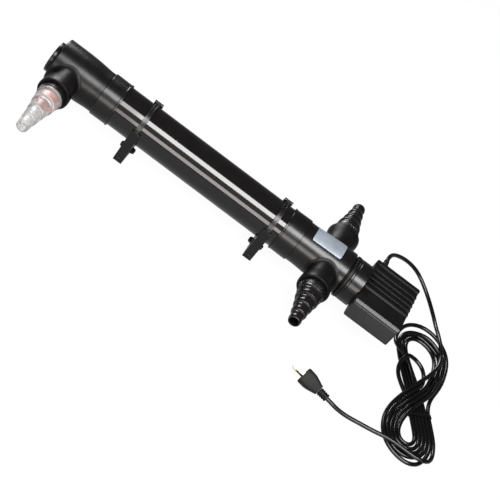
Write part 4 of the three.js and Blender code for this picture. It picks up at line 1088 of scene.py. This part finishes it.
def make_tie(path):
    """A flat band drawn round the strands at the waist of the hank."""
    turn = math.radians(TIE_ANGLE)
    across = np.array([math.cos(turn), math.sin(turn)])
    along = np.array([-across[1], across[0]])
    heading = np.gradient(path[:, :2], axis=0)
    heading /= np.linalg.norm(heading, axis=1)[:, None]
    place = path[:, :2] - np.array(TIE_AT)
    inside = (abs(place @ along) < 2.6) & (abs(place @ across) < 23) & (abs(heading @ along) > 0.8)
    loops = []
    for reach in (CORD_R + 0.1, CORD_R + 1.0):
        ring = []
        for (a, _), z in zip(place[inside] @ np.column_stack([across, along]), path[inside, 2]):
            ring += [(round(a + b, 4), round(max(z + c, FLOOR + 0.05), 4)) for b, c in arc(reach, 0, 360, 24)]
        loops.append(evenly(hull(ring), 96))
    verts = []
    for shift in (-2.4, 2.4):
        for loop in loops:
            for a, z in loop:
                spot = np.array(TIE_AT) + across * a + along * shift
                verts.append((spot[0], spot[1], z))
    faces = joined(len(loops[0]), ((0, 1), (1, 3), (3, 2), (2, 0)))
    piece("cord_tie_band", verts, faces, RUBBER, "lamp_unit", ["cord_tie"])


# ------------------------------------------------------------------ carried-over CAD nodes
def paint_cad_nodes():
    for node, material in (
        ("sleeve_support", CERAMIC), ("sleeve_seal", RUBBER), ("circuit_board", BOARD), ("choke", STEEL),
        ("capacitor", CAPACITOR), ("terminal_block", CERAMIC), ("lamp_lead_1", LEAD_WHITE),
        ("lamp_lead_2", LEAD_WHITE),
    ):
        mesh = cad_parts[node].data
        mesh.materials.clear()
        mesh.materials.append(material)


# ------------------------------------------------------------------ stage and light
FLOOR_GLOW, WORLD_GLOW = 0.60, 0.12  # strengths, away from the camera's own view
STRIP_X, STRIP_END_X = 0.52, -0.635
WARM = (1.0, 0.95, 0.91)


def seen_or_not(tree, seen, otherwise, socket):
    """Gives a stage strength one value for the camera and another for light and reflections."""
    path = node(tree, "LightPath")
    strength = node(tree, "MapRange", To_Min=otherwise, To_Max=seen)
    tree.links.new(path.outputs["Is Camera Ray"], strength.inputs["Value"])
    tree.links.new(strength.outputs["Result"], socket)
    return strength


def strip_light(name, elevation, distance, width, length, radiance, azimuth=0.0, shift=0.0, tint=(1, 1, 1)):
    """A soft box that looks at the pipe from the front, or from the azimuth given, moved along X."""
    data = bpy.data.lights.new(name, "AREA")
    data.shape = "RECTANGLE"
    data.size = length
    data.size_y = width
    data.energy = radiance * width * length * math.pi
    data.color = tint
    light = bpy.data.objects.new(name, data)
    e, a = math.radians(elevation), math.radians(azimuth)
    direction = Vector((math.sin(a) * math.cos(e), -math.cos(a) * math.cos(e), math.sin(e)))
    light.location = Vector((shift, 0, AXIS_AT.z * MM)) + direction * distance
    light.rotation_mode = "QUATERNION"
    light.rotation_quaternion = (-direction).to_track_quat("-Z", "Y")
    light.visible_camera = False
    scene.collection.objects.link(light)


def make_stage():
    size = 12.0
    mesh = bpy.data.meshes.new("floor")
    corners = [(-size, -size, 0), (size, -size, 0), (size, size, 0), (-size, size, 0)]
    mesh.from_pydata(corners, [], [(0, 1, 2, 3)])
    floor = bpy.data.objects.new("floor", mesh)
    floor.location.z = -0.0002
    scene.collection.objects.link(floor)
    material, shader = principled("floor_white", (0.03, 0.03, 0.03), 1.0, Specular_IOR_Level=0.0,
                                  Emission_Color=(1, 1, 1, 1))
    mesh.materials.append(material)
    tree = material.node_tree
    split = node(tree, "SeparateXYZ")
    tree.links.new(node(tree, "TexCoord").outputs["Object"], split.inputs["Vector"])
    # the floor lights the object less towards the back
    fade = node(tree, "MapRange", From_Min=-0.15, From_Max=0.35, To_Min=FLOOR_GLOW, To_Max=0.16)
    tree.links.new(split.outputs["Y"], fade.inputs["Value"])
    strength = seen_or_not(tree, 0.95, FLOOR_GLOW, shader.inputs["Emission Strength"])
    tree.links.new(fade.outputs["Result"], strength.inputs["To Min"])

    world = bpy.data.worlds.new("studio")
    world.use_nodes = True
    tree = world.node_tree
    background = tree.nodes["Background"]
    background.inputs["Color"].default_value = (1, 1, 1, 1)
    seen_or_not(tree, 1.0, WORLD_GLOW, background.inputs["Strength"])
    scene.world = world

    strip_light("key_strip", 58, 1.6, 0.60, 1.76, 19.0, shift=STRIP_X)
    strip_light("key_strip_end", 58, 1.6, 0.60, 0.55, 11.5, shift=STRIP_END_X)
    strip_light("low_strip", 14, 1.6, 0.50, 1.76, 8.5, shift=STRIP_X, tint=WARM)
    strip_light("low_strip_end", 14, 1.6, 0.50, 0.55, 5.4, shift=STRIP_END_X, tint=WARM)
    strip_light("fill_strip", 36, 1.75, 0.60, 2.2, 0.5, shift=0.3, tint=(1.0, 0.93, 0.88))
    strip_light("back_box", 24, 1.7, 1.15, 0.6, 15.0, azimuth=-143)


plug_pieces = make_plug()
make_tie(make_cord())
make_pipe_line()
make_label()
make_end_plug()
make_ports()
make_clips()
make_adapter()
make_lamp()
make_ballast()
make_gland()
paint_cad_nodes()
make_stage()
scene.view_settings.view_transform = "Standard"
